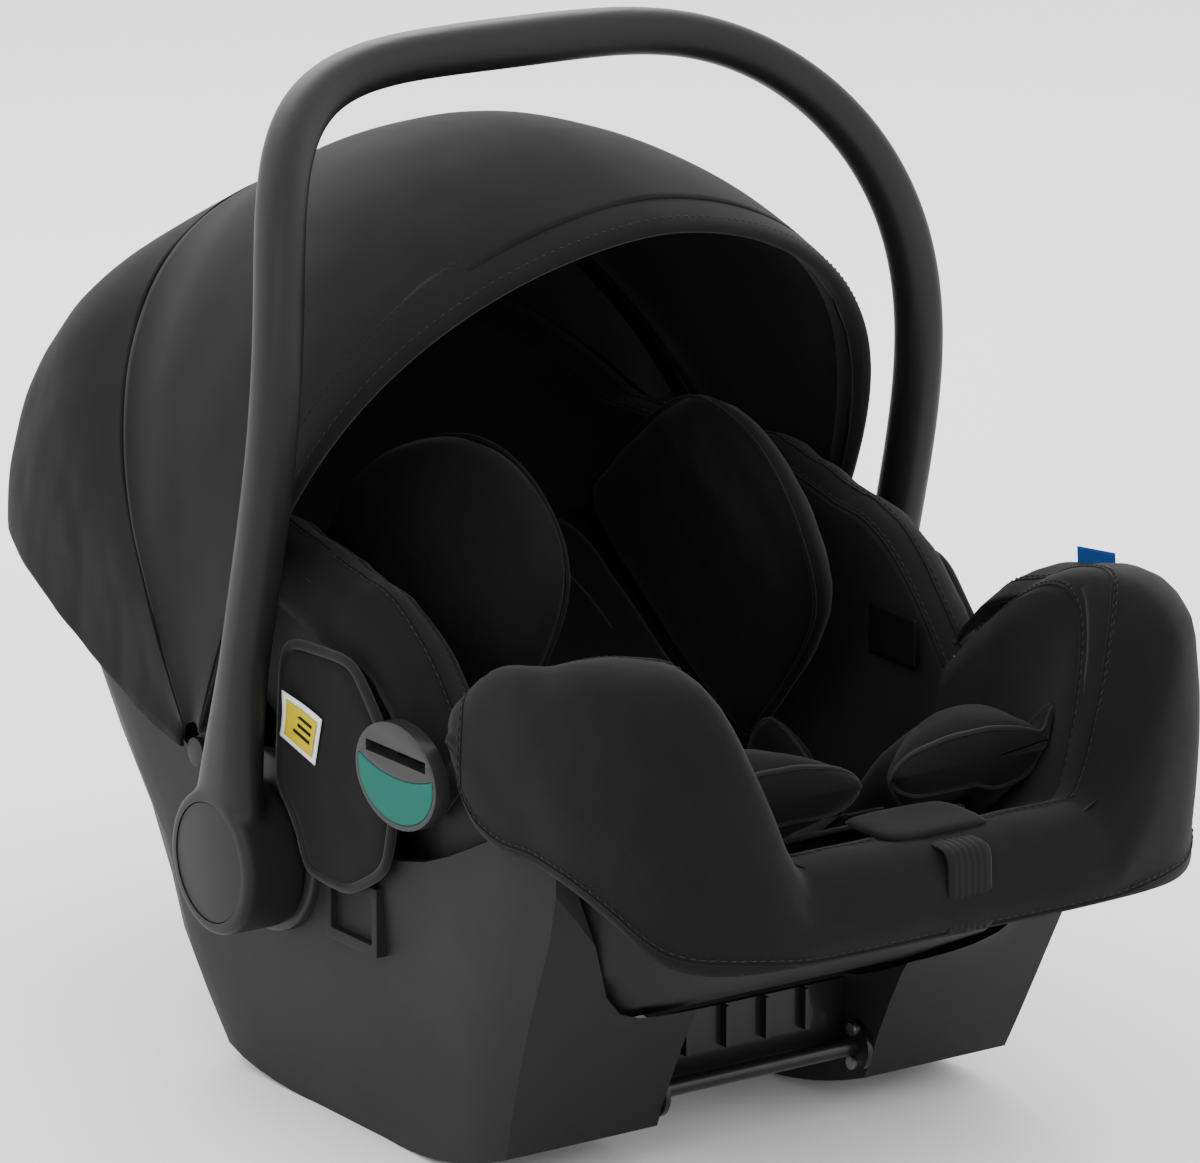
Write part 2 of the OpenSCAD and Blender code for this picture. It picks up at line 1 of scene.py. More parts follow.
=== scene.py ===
"""Looks of an infant car seat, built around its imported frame.

Shapes are worked out in millimetres: +x to the seat's right, +y to the head end, +z up from the
floor. place() puts them into the frame, in metres.
"""

import math

import bpy
import numpy as np
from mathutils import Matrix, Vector, noise


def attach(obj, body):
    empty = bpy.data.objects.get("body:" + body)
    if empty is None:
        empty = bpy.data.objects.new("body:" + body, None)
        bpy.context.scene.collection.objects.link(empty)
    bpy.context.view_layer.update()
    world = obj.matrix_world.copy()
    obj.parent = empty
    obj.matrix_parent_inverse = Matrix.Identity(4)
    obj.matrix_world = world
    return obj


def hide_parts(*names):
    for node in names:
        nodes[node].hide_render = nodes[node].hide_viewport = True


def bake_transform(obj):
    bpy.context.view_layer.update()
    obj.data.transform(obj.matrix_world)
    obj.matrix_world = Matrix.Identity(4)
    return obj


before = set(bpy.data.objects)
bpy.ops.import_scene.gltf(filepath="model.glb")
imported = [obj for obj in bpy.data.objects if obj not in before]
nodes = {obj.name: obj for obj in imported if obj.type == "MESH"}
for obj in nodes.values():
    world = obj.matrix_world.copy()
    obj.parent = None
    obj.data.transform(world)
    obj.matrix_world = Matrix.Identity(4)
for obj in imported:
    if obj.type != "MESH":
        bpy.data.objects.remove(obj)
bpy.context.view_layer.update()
scene = bpy.context.scene

MM = 0.001
MIDDLE_Y = 8.86  # where the frame's origin lies along the seat, in these millimetres
DEG = math.pi / 180


# ---- small helpers
def mix(a, b, t):
    """a at t = 0, b at t = 1."""
    return a + (b - a) * t


def ease(t):
    """0 up to t = 0 and 1 from t = 1, with a smooth rise between."""
    t = np.clip(t, 0, 1)
    return t * t * (3 - 2 * t)


def bump(t, middle, width):
    """1 at middle, falling to 0 at width away."""
    return np.exp(-(((t - middle) / width) ** 2))


def smooth_lookup(x, table):
    """A smooth curve through the table's points, level beyond its ends."""
    xs, ys = np.array(table, float).T
    slope = np.gradient(ys, xs)
    x = np.clip(x, xs[0], xs[-1])
    i = np.clip(np.searchsorted(xs, x, side="right") - 1, 0, len(xs) - 2)
    h = xs[i + 1] - xs[i]
    t = (x - xs[i]) / h
    return (
        (2 * t**3 - 3 * t**2 + 1) * ys[i]
        + (t**3 - 2 * t**2 + t) * h * slope[i]
        + (3 * t**2 - 2 * t**3) * ys[i + 1]
        + (t**3 - t**2) * h * slope[i + 1]
    )


def xyz(x, y, z):
    """Points from their coordinates."""
    return np.stack([x, y, z], axis=-1)


def unit(v):
    """Vectors made one long."""
    return v / np.linalg.norm(v, axis=-1, keepdims=True)


def rough(points, size, seed=0.0, octaves=2):
    """Soft noise from -1 to 1 at each point, with features of about size millimetres."""
    flat = np.asarray(points, float).reshape(-1, 3) / size + seed
    out = np.zeros(len(flat))
    gain = 1.0
    for k in range(octaves):
        out += gain * np.array([noise.noise(Vector(p * 2.0**k)) for p in flat])
        gain *= 0.5
    return out.reshape(np.shape(points)[:-1])


def grid_normals(p, wrap_u=False, wrap_v=False):
    """Unit normals of a grid of points."""
    def slope(q, axis, wrap):
        if wrap:
            return (np.roll(q, -1, axis) - np.roll(q, 1, axis)) / 2
        return np.gradient(q, axis=axis)

    n = np.cross(slope(p, 0, wrap_u), slope(p, 1, wrap_v))
    return n / np.maximum(np.linalg.norm(n, axis=-1, keepdims=True), 1e-9)


def grid_faces(nu, nv, wrap_u=False, wrap_v=False):
    """Four-sided faces of a grid of nu by nv points, closed round where asked."""
    faces = []
    for i in range(nu if wrap_u else nu - 1):
        for j in range(nv if wrap_v else nv - 1):
            k, l = (i + 1) % nu, (j + 1) % nv
            faces.append((i * nv + j, i * nv + l, k * nv + l, k * nv + j))
    return faces


def place(points):
    """Points in the frame, in metres."""
    p = np.array(points, float).reshape(-1, 3)
    p[:, 1] -= MIDDLE_Y
    return p * MM


def make(name, points, faces, material, uv=None):
    """A mesh object through these points, in millimetres."""
    mesh = bpy.data.meshes.new(name)
    mesh.from_pydata(place(points).tolist(), [], faces)
    mesh.polygons.foreach_set("use_smooth", [True] * len(mesh.polygons))
    if uv is not None:
        layer = mesh.uv_layers.new(name="cloth")
        index = np.empty(len(mesh.loops), int)
        mesh.loops.foreach_get("vertex_index", index)
        layer.data.foreach_set("uv", (np.asarray(uv, float).reshape(-1, 2)[index] * MM).ravel())
    mesh.materials.append(material)
    mesh.update()
    obj = bpy.data.objects.new(name, mesh)
    scene.collection.objects.link(obj)
    return obj


def run_length(path):
    """Distance along a path at each of its points."""
    return np.concatenate([[0], np.cumsum(np.linalg.norm(np.diff(path, axis=0), axis=1))])


def walk(path, run, at):
    """Points of a path at these distances along it, from its run_length()."""
    return np.stack([np.interp(at, run, path[:, k]) for k in range(path.shape[1])], axis=1)


def arc_uv(p):
    """Lengths along the grid's two directions, as cloth coordinates."""
    def run(q):
        step = np.linalg.norm(np.diff(q, axis=0), axis=-1)
        return np.concatenate([np.zeros((1,) + step.shape[1:]), np.cumsum(step, axis=0)])

    return np.stack([run(p), run(np.swapaxes(p, 0, 1)).T], axis=-1)


def grid_piece(name, p, material, thick, wrap_u=False, inward=True):
    """A cloth sheet through a grid, made solid by a thickness in millimetres."""
    obj = make(name, p, grid_faces(p.shape[0], p.shape[1], wrap_u), material, arc_uv(p))
    mod = obj.modifiers.new("thickness", "SOLIDIFY")
    mod.thickness = thick * MM
    mod.offset = -1 if inward else 1
    mod.use_rim = True
    return obj


def closed_loft(name, rings, material):
    """A closed solid through rings of points, capped at both ends by a fan."""
    rings = np.asarray(rings, float)
    m, n = rings.shape[:2]
    faces = grid_faces(m, n, wrap_v=True)
    points = np.concatenate([rings.reshape(-1, 3), [rings[0].mean(0), rings[-1].mean(0)]])
    for j in range(n):
        faces.append(((j + 1) % n, j, m * n))
        faces.append(((m - 1) * n + j, (m - 1) * n + (j + 1) % n, m * n + 1))
    return make(name, points, faces, material)


def tube(name, path, radius, material, sides, wrap=False, up=(0, 0, 1)):
    """A round tube along a path."""
    path = np.asarray(path, float)
    along = (np.roll(path, -1, 0) - np.roll(path, 1, 0)) if wrap else np.gradient(path, axis=0)
    along = unit(along)
    side = np.cross(along, np.array(up, float))
    side /= np.maximum(np.linalg.norm(side, axis=1, keepdims=True), 1e-6)
    top = np.cross(side, along)
    a = np.linspace(0, 2 * math.pi, sides, endpoint=False)
    r = np.broadcast_to(np.asarray(radius, float), (len(path),))[:, None, None]
    rings = (path[:, None] + r * np.cos(a)[None, :, None] * side[:, None]
             + r * np.sin(a)[None, :, None] * top[:, None])
    if wrap:
        return make(name, rings, grid_faces(len(path), sides, True, True), material, arc_uv(rings))
    return closed_loft(name, rings, material)


def resample(path, step):
    """Points along a path at equal steps."""
    path = np.asarray(path, float)
    run = run_length(path)
    count = max(2, int(round(run[-1] / step)) + 1)
    return walk(path, run, np.linspace(0, run[-1], count))


def stitches(name, path, normals, material, length=3.4, gap=1.8, r=0.42, proud=0.15):
    """A row of separate thread stitches along a path, lying on its normals."""
    path = np.asarray(path, float)
    run = run_length(path)
    lift = np.array([-0.5, 0.5, 0.8, 0.5, -0.5]) * r
    size = np.array([0.35, 0.85, 1.0, 0.85, 0.35]) * r
    rings, sides = len(lift), 6
    verts, faces = [], []
    start = gap
    while start + length < run[-1]:
        at = np.linspace(start, start + length, rings)
        p = walk(path, run, at)
        n = walk(normals, run, at)
        n = unit(n)
        t = np.gradient(p, axis=0)
        t = unit(t)
        s = np.cross(t, n)
        base = len(verts)
        for k in range(rings):
            for q in range(sides):
                a = q * math.pi / 3
                verts.append(p[k] + n[k] * (proud + lift[k] + size[k] * math.sin(a))
                             + s[k] * size[k] * math.cos(a))
        faces += [tuple(base + f for f in face) for face in grid_faces(rings, sides, wrap_v=True)]
        faces.append(tuple(base + q for q in range(sides - 1, -1, -1)))
        faces.append(tuple(base + (rings - 1) * sides + q for q in range(sides)))
        start += length + gap
    return make(name, verts, faces, material)


def on_grid(p, n, us, vs):
    """Points and normals at fractional places (us, vs) of a grid."""
    us = np.clip(np.asarray(us, float), 0, p.shape[0] - 1.001)
    vs = np.clip(np.asarray(vs, float), 0, p.shape[1] - 1.001)
    i, j = us.astype(int), vs.astype(int)
    fu, fv = (us - i)[:, None], (vs - j)[:, None]

    def at(q):
        return ((1 - fu) * (1 - fv) * q[i, j] + fu * (1 - fv) * q[i + 1, j]
                + (1 - fu) * fv * q[i, j + 1] + fu * fv * q[i + 1, j + 1])

    return at(p), at(n)


def seam(name, p, n, us, vs, lift, side=2.2):
    """A sewn seam on a grid of the cover: a raised fold and a row of stitches beside it.

    The fold's middle is sunk a little, and lift is how far the cloth's face is from the grid.
    """
    path, normal = on_grid(p, n, us, vs)
    sunk, fold_radius = 0.2, 0.75
    fold = tube(f"{name}_fold", path + normal * (lift - sunk), fold_radius, COVER, 6)
    along = np.gradient(path, axis=0)
    across = np.cross(along, normal)
    across = unit(across)
    row = stitches(f"{name}_stitches", path + across * side + normal * lift, normal, THREAD)
    for o in (fold, row):
        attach(o, "shell")


def join(name, *objs):
    """One object from several."""
    bpy.ops.object.select_all(action="DESELECT")
    for o in objs:
        o.select_set(True)
    bpy.context.view_layer.objects.active = objs[0]
    bpy.ops.object.join()
    objs[0].name = name
    return objs[0]


def mirrored(obj):
    """The right-hand copy of a left-hand piece, with its modifiers applied."""
    name = obj.name.replace("left", "right")
    deps = bpy.context.evaluated_depsgraph_get()
    mesh = bpy.data.meshes.new_from_object(obj.evaluated_get(deps))
    co = np.empty(len(mesh.vertices) * 3)
    mesh.vertices.foreach_get("co", co)
    co[::3] *= -1
    mesh.vertices.foreach_set("co", co)
    mesh.flip_normals()
    mesh.name = name
    other = bpy.data.objects.new(name, mesh)
    scene.collection.objects.link(other)
    return other


def finish_piece(obj, body, slot, *replaced):
    """Says which body a piece rides on and the CAD nodes it stands for. Its slot is not used."""
    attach(obj, body)
    if replaced:
        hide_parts(*replaced)
    return obj


# ---- materials
class Nodes:
    """Short calls for building one material's nodes."""

    def __init__(self, name, colour, roughness, **sockets):
        self.material = bpy.data.materials.new(name)
        self.material.use_nodes = True
        self.tree = self.material.node_tree
        self.shader = self.tree.nodes["Principled BSDF"]
        self.set("Base Color", (*colour, 1))
        self.set("Roughness", roughness)
        for key, value in sockets.items():
            self.set(key.replace("_", " "), value)

    def set(self, socket, value):
        self.shader.inputs[socket].default_value = value

    def add(self, kind, **values):
        node = self.tree.nodes.new(kind)
        for key, value in values.items():
            if hasattr(node, key):
                setattr(node, key, value)
            else:
                node.inputs[key.replace("_", " ")].default_value = value
        return node

    def link(self, a, b):
        self.tree.links.new(a, b)

    def coords(self, kind="Object"):
        return self.add("ShaderNodeTexCoord").outputs[kind]

    def noise(self, scale, detail=2.0, where=None):
        node = self.add("ShaderNodeTexNoise", Scale=scale, Detail=detail)
        self.link(where or self.coords(), node.inputs["Vector"])
        return node.outputs["Fac"]

    def wave(self, scale, direction, where):
        node = self.add("ShaderNodeTexWave", bands_direction=direction, Scale=scale)
        self.link(where, node.inputs["Vector"])
        return node.outputs["Fac"]

    def math(self, operation, a, b):
        node = self.add("ShaderNodeMath", operation=operation)
        for k, v in enumerate((a, b)):
            if isinstance(v, (int, float)):
                node.inputs[k].default_value = v
            else:
                self.link(v, node.inputs[k])
        return node.outputs[0]

    def ramp(self, value, low, high, to="Base Color"):
        """value from 0 to 1 gives a colour from low to high on a shader socket."""
        node = self.add("ShaderNodeMix", data_type="RGBA")
        self.link(value, node.inputs["Factor"])
        node.inputs["A"].default_value = (*low, 1)
        node.inputs["B"].default_value = (*high, 1)
        self.link(node.outputs["Result"], self.shader.inputs[to])

    def spread(self, value, low, high, to="Roughness"):
        """value from 0 to 1 gives a number from low to high on a shader socket."""
        node = self.add("ShaderNodeMapRange", To_Min=low, To_Max=high)
        self.link(value, node.inputs["Value"])
        self.link(node.outputs["Result"], self.shader.inputs[to])

    def bumps(self, *layers):
        """(height, strength, distance in millimetres), the first laid on the next."""
        normal = None
        for height, strength, distance in layers:
            node = self.add("ShaderNodeBump", Strength=strength, Distance=distance * MM)
            self.link(height, node.inputs["Height"])
            if normal:
                self.link(normal, node.inputs["Normal"])
            normal = node.outputs["Normal"]
        self.link(normal, self.shader.inputs["Normal"])


def shade(colour, by):
    """A lighter or darker tone of a colour."""
    return tuple(c * by for c in colour)


def plastic(name, colour, roughness, grain=0.25, coat=0.0):
    """Moulded plastic with a spark-eroded grain and faint handling marks."""
    m = Nodes(name, colour, roughness, Specular_IOR_Level=0.18, Coat_Weight=coat)
    where = m.coords()
    m.ramp(m.noise(9, 3, where), shade(colour, 0.93), shade(colour, 1.08))
    m.spread(m.noise(26, 4, where), roughness - 0.05, roughness + 0.06)
    m.bumps((m.noise(1500, 2, where), grain, 0.25), (m.noise(14, 2, where), 0.06, 1.5))
    return m.material


def cloth(name, colour, roughness=0.85, sheen=0.25, weave=420, coords="UV", depth=0.3, fuzz=0.12):
    """Woven or knitted fabric: two thread directions, uneven dye and a little fuzz."""
    m = Nodes(name, colour, roughness, Sheen_Weight=sheen, Sheen_Roughness=0.45,
              Specular_IOR_Level=0.1)
    where = m.coords(coords)
    obj = m.coords()
    threads = m.math("MULTIPLY", m.wave(weave, "X", where), m.wave(weave, "Y", where))
    dye = m.noise(60, 4, obj)
    tone = m.math("ADD", m.math("MULTIPLY", threads, 0.45), m.math("MULTIPLY", dye, 0.55))
    m.ramp(tone, shade(colour, 0.72), shade(colour, 1.3))
    m.spread(m.noise(40, 3, obj), roughness - 0.06, roughness + 0.08)
    m.bumps((threads, depth, 0.35), (m.noise(900, 3, obj), fuzz, 0.3),
            (m.noise(22, 3, obj), 0.12, 2.0))
    return m.material


def metal(name, colour, roughness):
    """Plated steel with uneven polish."""
    m = Nodes(name, colour, roughness, Metallic=1.0)
    where = m.coords()
    m.spread(m.noise(90, 4, where), roughness - 0.06, roughness + 0.1)
    m.bumps((m.noise(400, 3, where), 0.1, 0.1))
    return m.material


SHELL = plastic("shell_plastic", (0.0075, 0.0075, 0.0079), 0.6, 0.3)
HANDLE = plastic("handle_plastic", (0.0065, 0.0065, 0.0072), 0.45, 0.1)
HOUSING = plastic("housing_plastic", (0.016, 0.016, 0.017), 0.45, 0.12)
DARK = plastic("dark_plastic", (0.005, 0.005, 0.0055), 0.45, 0.2)
GUIDE = plastic("guide_plastic", (0.014, 0.014, 0.015), 0.3, 0.08)
TEAL = plastic("teal_plastic", (0.0, 0.085, 0.063), 0.6, 0.1)
RED = plastic("red_plastic", (0.3, 0.008, 0.008), 0.35, 0.1, 0.2)
STEEL = metal("steel", (0.4, 0.4, 0.42), 0.35)
BLACK_STEEL = plastic("black_steel", (0.006, 0.006, 0.0065), 0.35, 0.1, 0.2)
FOAM = plastic("foam", (0.7, 0.7, 0.7), 0.8, 0.6)
COVER = cloth("cover_fabric", (0.0045, 0.0045, 0.0049), sheen=0.05)
CANOPY = cloth("canopy_fabric", (0.0048, 0.0048, 0.0052), sheen=0.06, weave=520)
# cloth of the pieces inside the seat, darker than the cover's cloth: painted shade of the seat's
# shaded inside
INNER_SHADED = cloth("inner_fabric", (0.0026, 0.0026, 0.0029), sheen=0.04, coords="Object", depth=0.2)
WEBBING = cloth("webbing", (0.0045, 0.0045, 0.005), 0.7, 0.06, weave=200, depth=0.6)
BINDING = cloth("binding_tape", (0.0085, 0.0085, 0.009), 0.75, 0.1, weave=300, depth=0.4)
THREAD = cloth("thread", (0.011, 0.011, 0.012), 0.7, 0.1, coords="Object")
YELLOW = cloth("yellow_label", (0.42, 0.33, 0.0), 0.8, 0.05, depth=0.15)
WHITE = cloth("white_label", (0.6, 0.61, 0.6), 0.7, 0.05, depth=0.15)
BLUE = cloth("blue_label", (0.006, 0.045, 0.2), 0.7, 0.05, depth=0.15)
INK = cloth("label_ink", (0.004, 0.004, 0.004), 0.6, 0.0, coords="Object", depth=0.1)


def both(*names):
    """The left and the right piece of each name."""
    return [f"{name}_{side}" for name in names for side in ("left", "right")]


# the CAD nodes that are shown as they are, by their finish
cad_finish = {
    SHELL: ["seat_shell", *both("rocker", "adapter_socket")],
    HOUSING: both("hub_housing"),
    HANDLE: both("release_button"),
    GUIDE: both("belt_guide"),
    DARK: [*both("lock_gear", "canopy_rivet"), "canopy_middle_bow", "canopy_front_bow",
           "head_shell", "head_grip", "buckle_body", "adjuster_button"],
    TEAL: ["rear_belt_guide", *both("belt_insert")],
    RED: ["buckle_button"],
    STEEL: ["latch_screws", "harness_yoke", "buckle_tongues", *both("hub_bolt", "lock_spring")],
    BLACK_STEEL: ["front_latch_bar", "rear_latch_bar"],
    FOAM: ["foam_liner"],
}
# the radius of the eased edges, in millimetres, of those that have them
bevel_of = {"hub_housing": 2.0, "release_button": 1.6, "belt_guide": 1.2, "belt_insert": 0.7,
            "adapter_socket": 1.2, "canopy_rivet": 0.8, "buckle_body": 1.5, "buckle_button": 1.0,
            "head_grip": 1.5, "adjuster_button": 0.8}
CREASE = 32 * DEG        # sharper edges than this are shaded as creases
BEVELLED = 40 * DEG      # sharper edges than this are eased


def smoothing_group():
    """The nodes of a modifier that shades a mesh smooth except at its creases."""
    tree = bpy.data.node_groups.new("smooth_faces", "GeometryNodeTree")
    tree.interface.new_socket("Geometry", in_out="INPUT", socket_type="NodeSocketGeometry")
    tree.interface.new_socket("Geometry", in_out="OUTPUT", socket_type="NodeSocketGeometry")
    add, link = tree.nodes.new, tree.links.new
    start, end = add("NodeGroupInput"), add("NodeGroupOutput")
    angle = add("GeometryNodeInputMeshEdgeAngle")
    sharp = add("FunctionNodeCompare")
    sharp.operation = "GREATER_THAN"
    sharp.inputs["B"].default_value = CREASE
    faces = add("GeometryNodeSetShadeSmooth")
    edges = add("GeometryNodeSetShadeSmooth")
    edges.domain = "EDGE"
    edges.inputs["Shade Smooth"].default_value = False
    link(start.outputs[0], faces.inputs["Geometry"])
    link(faces.outputs[0], edges.inputs["Geometry"])
    link(angle.outputs["Unsigned Angle"], sharp.inputs["A"])
    link(sharp.outputs[0], edges.inputs["Selection"])
    link(edges.outputs[0], end.inputs[0])
    return tree


SMOOTH = smoothing_group()


def tidy_cad(node, bevel):
    """Welds a shown CAD node, eases its edges by bevel millimetres and shades it smooth."""
    obj = nodes[node]
    weld = obj.modifiers.new("weld", "WELD")
    weld.merge_threshold = 1e-5
    if bevel:
        edge = obj.modifiers.new("eased_edges", "BEVEL")
        edge.width = bevel * MM
        edge.segments = 3
        edge.limit_method = "ANGLE"
        edge.angle_limit = BEVELLED
        edge.use_clamp_overlap = True
    obj.modifiers.new("smooth", "NODES").node_group = SMOOTH


for finish, names in cad_finish.items():
    for node in names:
        nodes[node].data.materials.clear()
        nodes[node].data.materials.append(finish)
        tidy_cad(node, bevel_of.get(node.removesuffix("_left").removesuffix("_right"), 0))

# ---- the seat's surfaces
SHELL_HALF_W, SHELL_HALF_L = 179, 325
RIM_MIDDLE = 12          # the middle of the shell's outline, along the seat
LIP_Z = 200              # the rim's height across the foot end
LIP_FROM, LIP_TO = 90, 144  # the rim rises from the lip to the sides between these half widths
SEAT_LOW_Y, SEAT_LOW_Z = -120, 118
LINER = 35               # how far in from the shell's outline the padded cover starts to rise


def rim_reach(a, d):
    """Distance from the outline's middle to a place d inside it, in the direction a."""
    n = np.where(np.sin(a) > 0, 4.5, 6.0)
    across = (np.abs(np.cos(a)) / (SHELL_HALF_W - d)) ** n
    along = (np.abs(np.sin(a)) / (SHELL_HALF_L - d)) ** n
    return (across + along) ** (-1 / n)


def seat_z(y):
    """Height of the seat's middle line: level at its lowest, and straight slopes beyond."""
    slope, blend = 0.64, 45
    return SEAT_LOW_Z + slope * (np.sqrt((y - SEAT_LOW_Y) ** 2 + blend * blend) - blend)


def side_rim_z(y):
    """Height of the rim at the sides: the foot end, a dip for the belt, then the head end."""
    foot = 304 - (y + 262) ** 2 / 266
    dip = 295 - 64 * ((y + 20) / 90) ** 2
    head = 295 + 0.22 * (np.minimum(y, 60) + 20) + 0.44 * np.maximum(0, y - 200)
    return np.where(y < -115, foot, np.where(y < -20, dip, head))


def rim_z(x, y):
    """Height of the rim at a place on it."""
    side = side_rim_z(y)
    lip = mix(LIP_Z, side, ease((np.abs(x) - LIP_FROM) / (LIP_TO - LIP_FROM)))
    return np.where(y > 0, side, lip)


def rim_top(a, d=10):
    """Height of the rim in the direction a, over a place d inside the outline."""
    r = rim_reach(a, d)
    return rim_z(r * np.cos(a), RIM_MIDDLE + r * np.sin(a))


def rim_point(a, d, rise):
    """A place by the rim in the direction a, d in from the shell's outline, rise above the rim."""
    r = rim_reach(a, d)
    return xyz(r * np.cos(a), RIM_MIDDLE + r * np.sin(a), rim_top(a, d) + rise)


def evened(a_count):
    """Directions whose rim points are evenly spaced round the shell."""
    a = np.linspace(-math.pi, math.pi, 4001)
    r = rim_reach(a, 10)
    run = run_length(np.stack([r * np.cos(a), r * np.sin(a)], axis=1))
    return np.interp(np.linspace(0, run[-1], a_count, endpoint=False), run, a)


def build_seat_cover():
    """The padded cover inside the shell and over its rim, with two seams near the top."""
    a = evened(300)
    rows = []
    for t in np.linspace(0.02, 1, 46) ** 0.75:
        r = rim_reach(a, LINER) * t
        x, y = r * np.cos(a), RIM_MIDDLE + r * np.sin(a)
        top = rim_top(a, LINER) + 4
        low = np.minimum(seat_z(y), top - 4)
        rows.append(xyz(x, y, mix(low, top, t**8)))
    # over the rim: how far in from the shell's outline, and how far above the rim
    roll = [(33.5, 4), (29, 7.5), (24, 10), (18, 11), (11, 10), (5, 7), (0, 1.5), (-3, -6),
            (-4.5, -16), (-4.5, -24)]
    # at the head end it is tucked inside the rim, to clear the canopy
    head = ease((RIM_MIDDLE + rim_reach(a, 0) * np.sin(a) - 60) / 50)[:, None]
    for d, rise in roll:
        low = min(rise, 4 + 0.25 * rise) if d > 5 else 0.5 + 0.12 * rise
        tucked = rim_point(a, max(d, 5.5), low)
        rows.append(mix(rim_point(a, d, rise), tucked, head))
    p = np.stack(rows, axis=1)
    n = grid_normals(p, wrap_u=True)
    inner = np.linspace(0, 1, p.shape[1])[None, :]
    edge = ease((inner - 0.6) * 4) * bump(p[..., 1], 10, 90)
    p = p + n * (rough(p, 70, 3.1) * 1.6 * ease(inner * 2) + rough(p, 24, 9.7) * 0.5
                 + rough(p * [1, 1, 0.4], 15, 6.2) * 1.3 * edge)[..., None]
    obj = grid_piece("seat_cover_fabric", p, COVER, 3, wrap_u=True)
    n = grid_normals(p, wrap_u=True)
    n *= np.sign(n[:, 10, 2].mean())
    loop = np.linspace(0, p.shape[0] - 1.001, 900)
    for k, v in enumerate((46.4, 49.0)):
        seam(f"cover_seam_{k}", p, n, loop, np.full(900, v), 0.1)
    return finish_piece(obj, "shell", "cover_fabric", "seat_cover")


build_seat_cover()

# the foot cover's lower edge at the sides: (place along the seat, height)
FOOT_EDGE = [(-345, 163), (-322, 164), (-300, 170), (-276, 188), (-250, 201), (-223, 207),
             (-187, 210), (-169, 220), (-154, 243), (-148, 262)]
FOOT_EDGE_FRONT = 164  # and its height across the foot end


def foot_bottom(a):
    """Height of the foot cover's lower edge."""
    r = rim_reach(a, -13)
    x, y = r * np.cos(a), RIM_MIDDLE + r * np.sin(a)
    side = smooth_lookup(y, FOOT_EDGE)
    return mix(FOOT_EDGE_FRONT, side, ease((np.abs(x) - 120) / 50))


def build_foot_cover():
    """The padded cover round the foot end, over the rim and down outside the shell."""
    a_full = evened(1200)
    a = a_full[(a_full > -140 * DEG) & (a_full < -40 * DEG)][::3]
    # it stands up at its rear edges, above the shell's rim
    proud = 15 * ease((RIM_MIDDLE + rim_reach(a, 0) * np.sin(a) + 222) / 62)
    outside, drop = -12.6, 14  # where the roll over the rim ends
    roll = [(28, 4), (26.5, 5), (22, 6.8), (16, 7.8), (9, 8), (2, 6.8), (-4, 3.6), (-8.5, -1.5),
            (-11.2, -7), (outside, -drop)]
    top = rim_top(a, outside) + proud
    bottom = foot_bottom(a)
    widen = np.array([1.0156, 1, 1])
    rows = [rim_point(a, d, rise + proud) * widen for d, rise in roll]
    for s in np.linspace(0.06, 1, 22):
        d = outside - 3.2 * math.sin(math.pi * min(1, s * 1.15)) * (1 - 0.4 * s)
        q = rim_point(a, d, 0) * widen
        q[:, 2] = mix(top - drop, bottom, s)
        rows.append(q)
    p = np.stack(rows, axis=1)
    n = grid_normals(p)
    s = np.linspace(0, 1, p.shape[1])[None, :]
    front = bump(p[:, :1, 0], 0, 120)
    p = p + n * (rough(p, 60, 5.5) * 1.4 + rough(p, 20, 1.3) * 0.35 * (1 - front))[..., None]
    obj = grid_piece("foot_cover_fabric", p, COVER, 3, inward=False)
    n = grid_normals(p)
    n *= np.sign(n[:, 4, 2].mean())
    last, face, inset = p.shape[0] - 1, 3.1, 2.6
    loop = np.linspace(0, last, 700)
    down = np.linspace(5, p.shape[1] - 1.5, 160)
    hem = np.full(700, p.shape[1] - 2.2)
    seam("foot_top_seam", p, n, loop, np.full(700, inset), face)
    for k, u in enumerate((inset, last - inset)):
        seam(f"foot_panel_seam_{k}", p, n, np.full(160, u), down, face)
    seam("foot_hem_seam", p, n, loop, hem, face, -2.2)
    return finish_piece(obj, "shell", "cover_fabric", "foot_cover")


build_foot_cover()

# ---- the canopy
PIVOT_Y, PIVOT_Z, CANOPY_HALF = 95, 190, 199
FRONT_BOW, MIDDLE_BOW = 117, 57  # degrees about the pivots, from the head end up and over
# the canopy's reach from its pivots, and its arch's two powers, at each of these angles
REACH = [(0, 228), (25, 277), (42, 316), (58, 321), (75, 322), (95, 328), (117, 330)]
POWER_P = [(0, 7), (25, 7), (42, 4), (57, 2.1), (70, 1.85), (117, 1.75)]
POWER_Q = [(0, 6.5), (25, 6.5), (42, 4.2), (57, 3.0), (75, 3.1), (117, 3.75)]


def arch(i, p, q, turn):
    """Shares (x, u) of an arch's half width and height, at i from -1 to 1 across it.

    They obey |x|**p + u**q = 1. The arms go by height up to the share turn, the top by width.
    """
    a = np.abs(i)
    x_turn = (1 - turn**q) ** (1 / p)
    u_arm = np.clip(2 * (1 - a) * turn, 0, 1)
    x_top = np.clip(2 * a * x_turn, 0, 1)
    x = np.where(a > 0.5, (1 - u_arm**q) ** (1 / p), x_top) * np.sign(i)
    u = np.where(a > 0.5, u_arm, (1 - x_top**p) ** (1 / q))
    return x, u


def canopy_arch(phi, i, d):
    """A point d inside the canopy: phi in degrees about the pivots, i from -1 to 1 across."""
    phi, i = np.broadcast_arrays(np.asarray(phi, float), np.asarray(i, float))
    x, u = arch(i, smooth_lookup(phi, POWER_P), smooth_lookup(phi, POWER_Q), 0.85)
    r = (smooth_lookup(phi, REACH) - d) * u
    c, s = np.cos(phi * DEG), np.sin(phi * DEG)
    return xyz((CANOPY_HALF - d) * x, PIVOT_Y + r * c, PIVOT_Z + r * s)


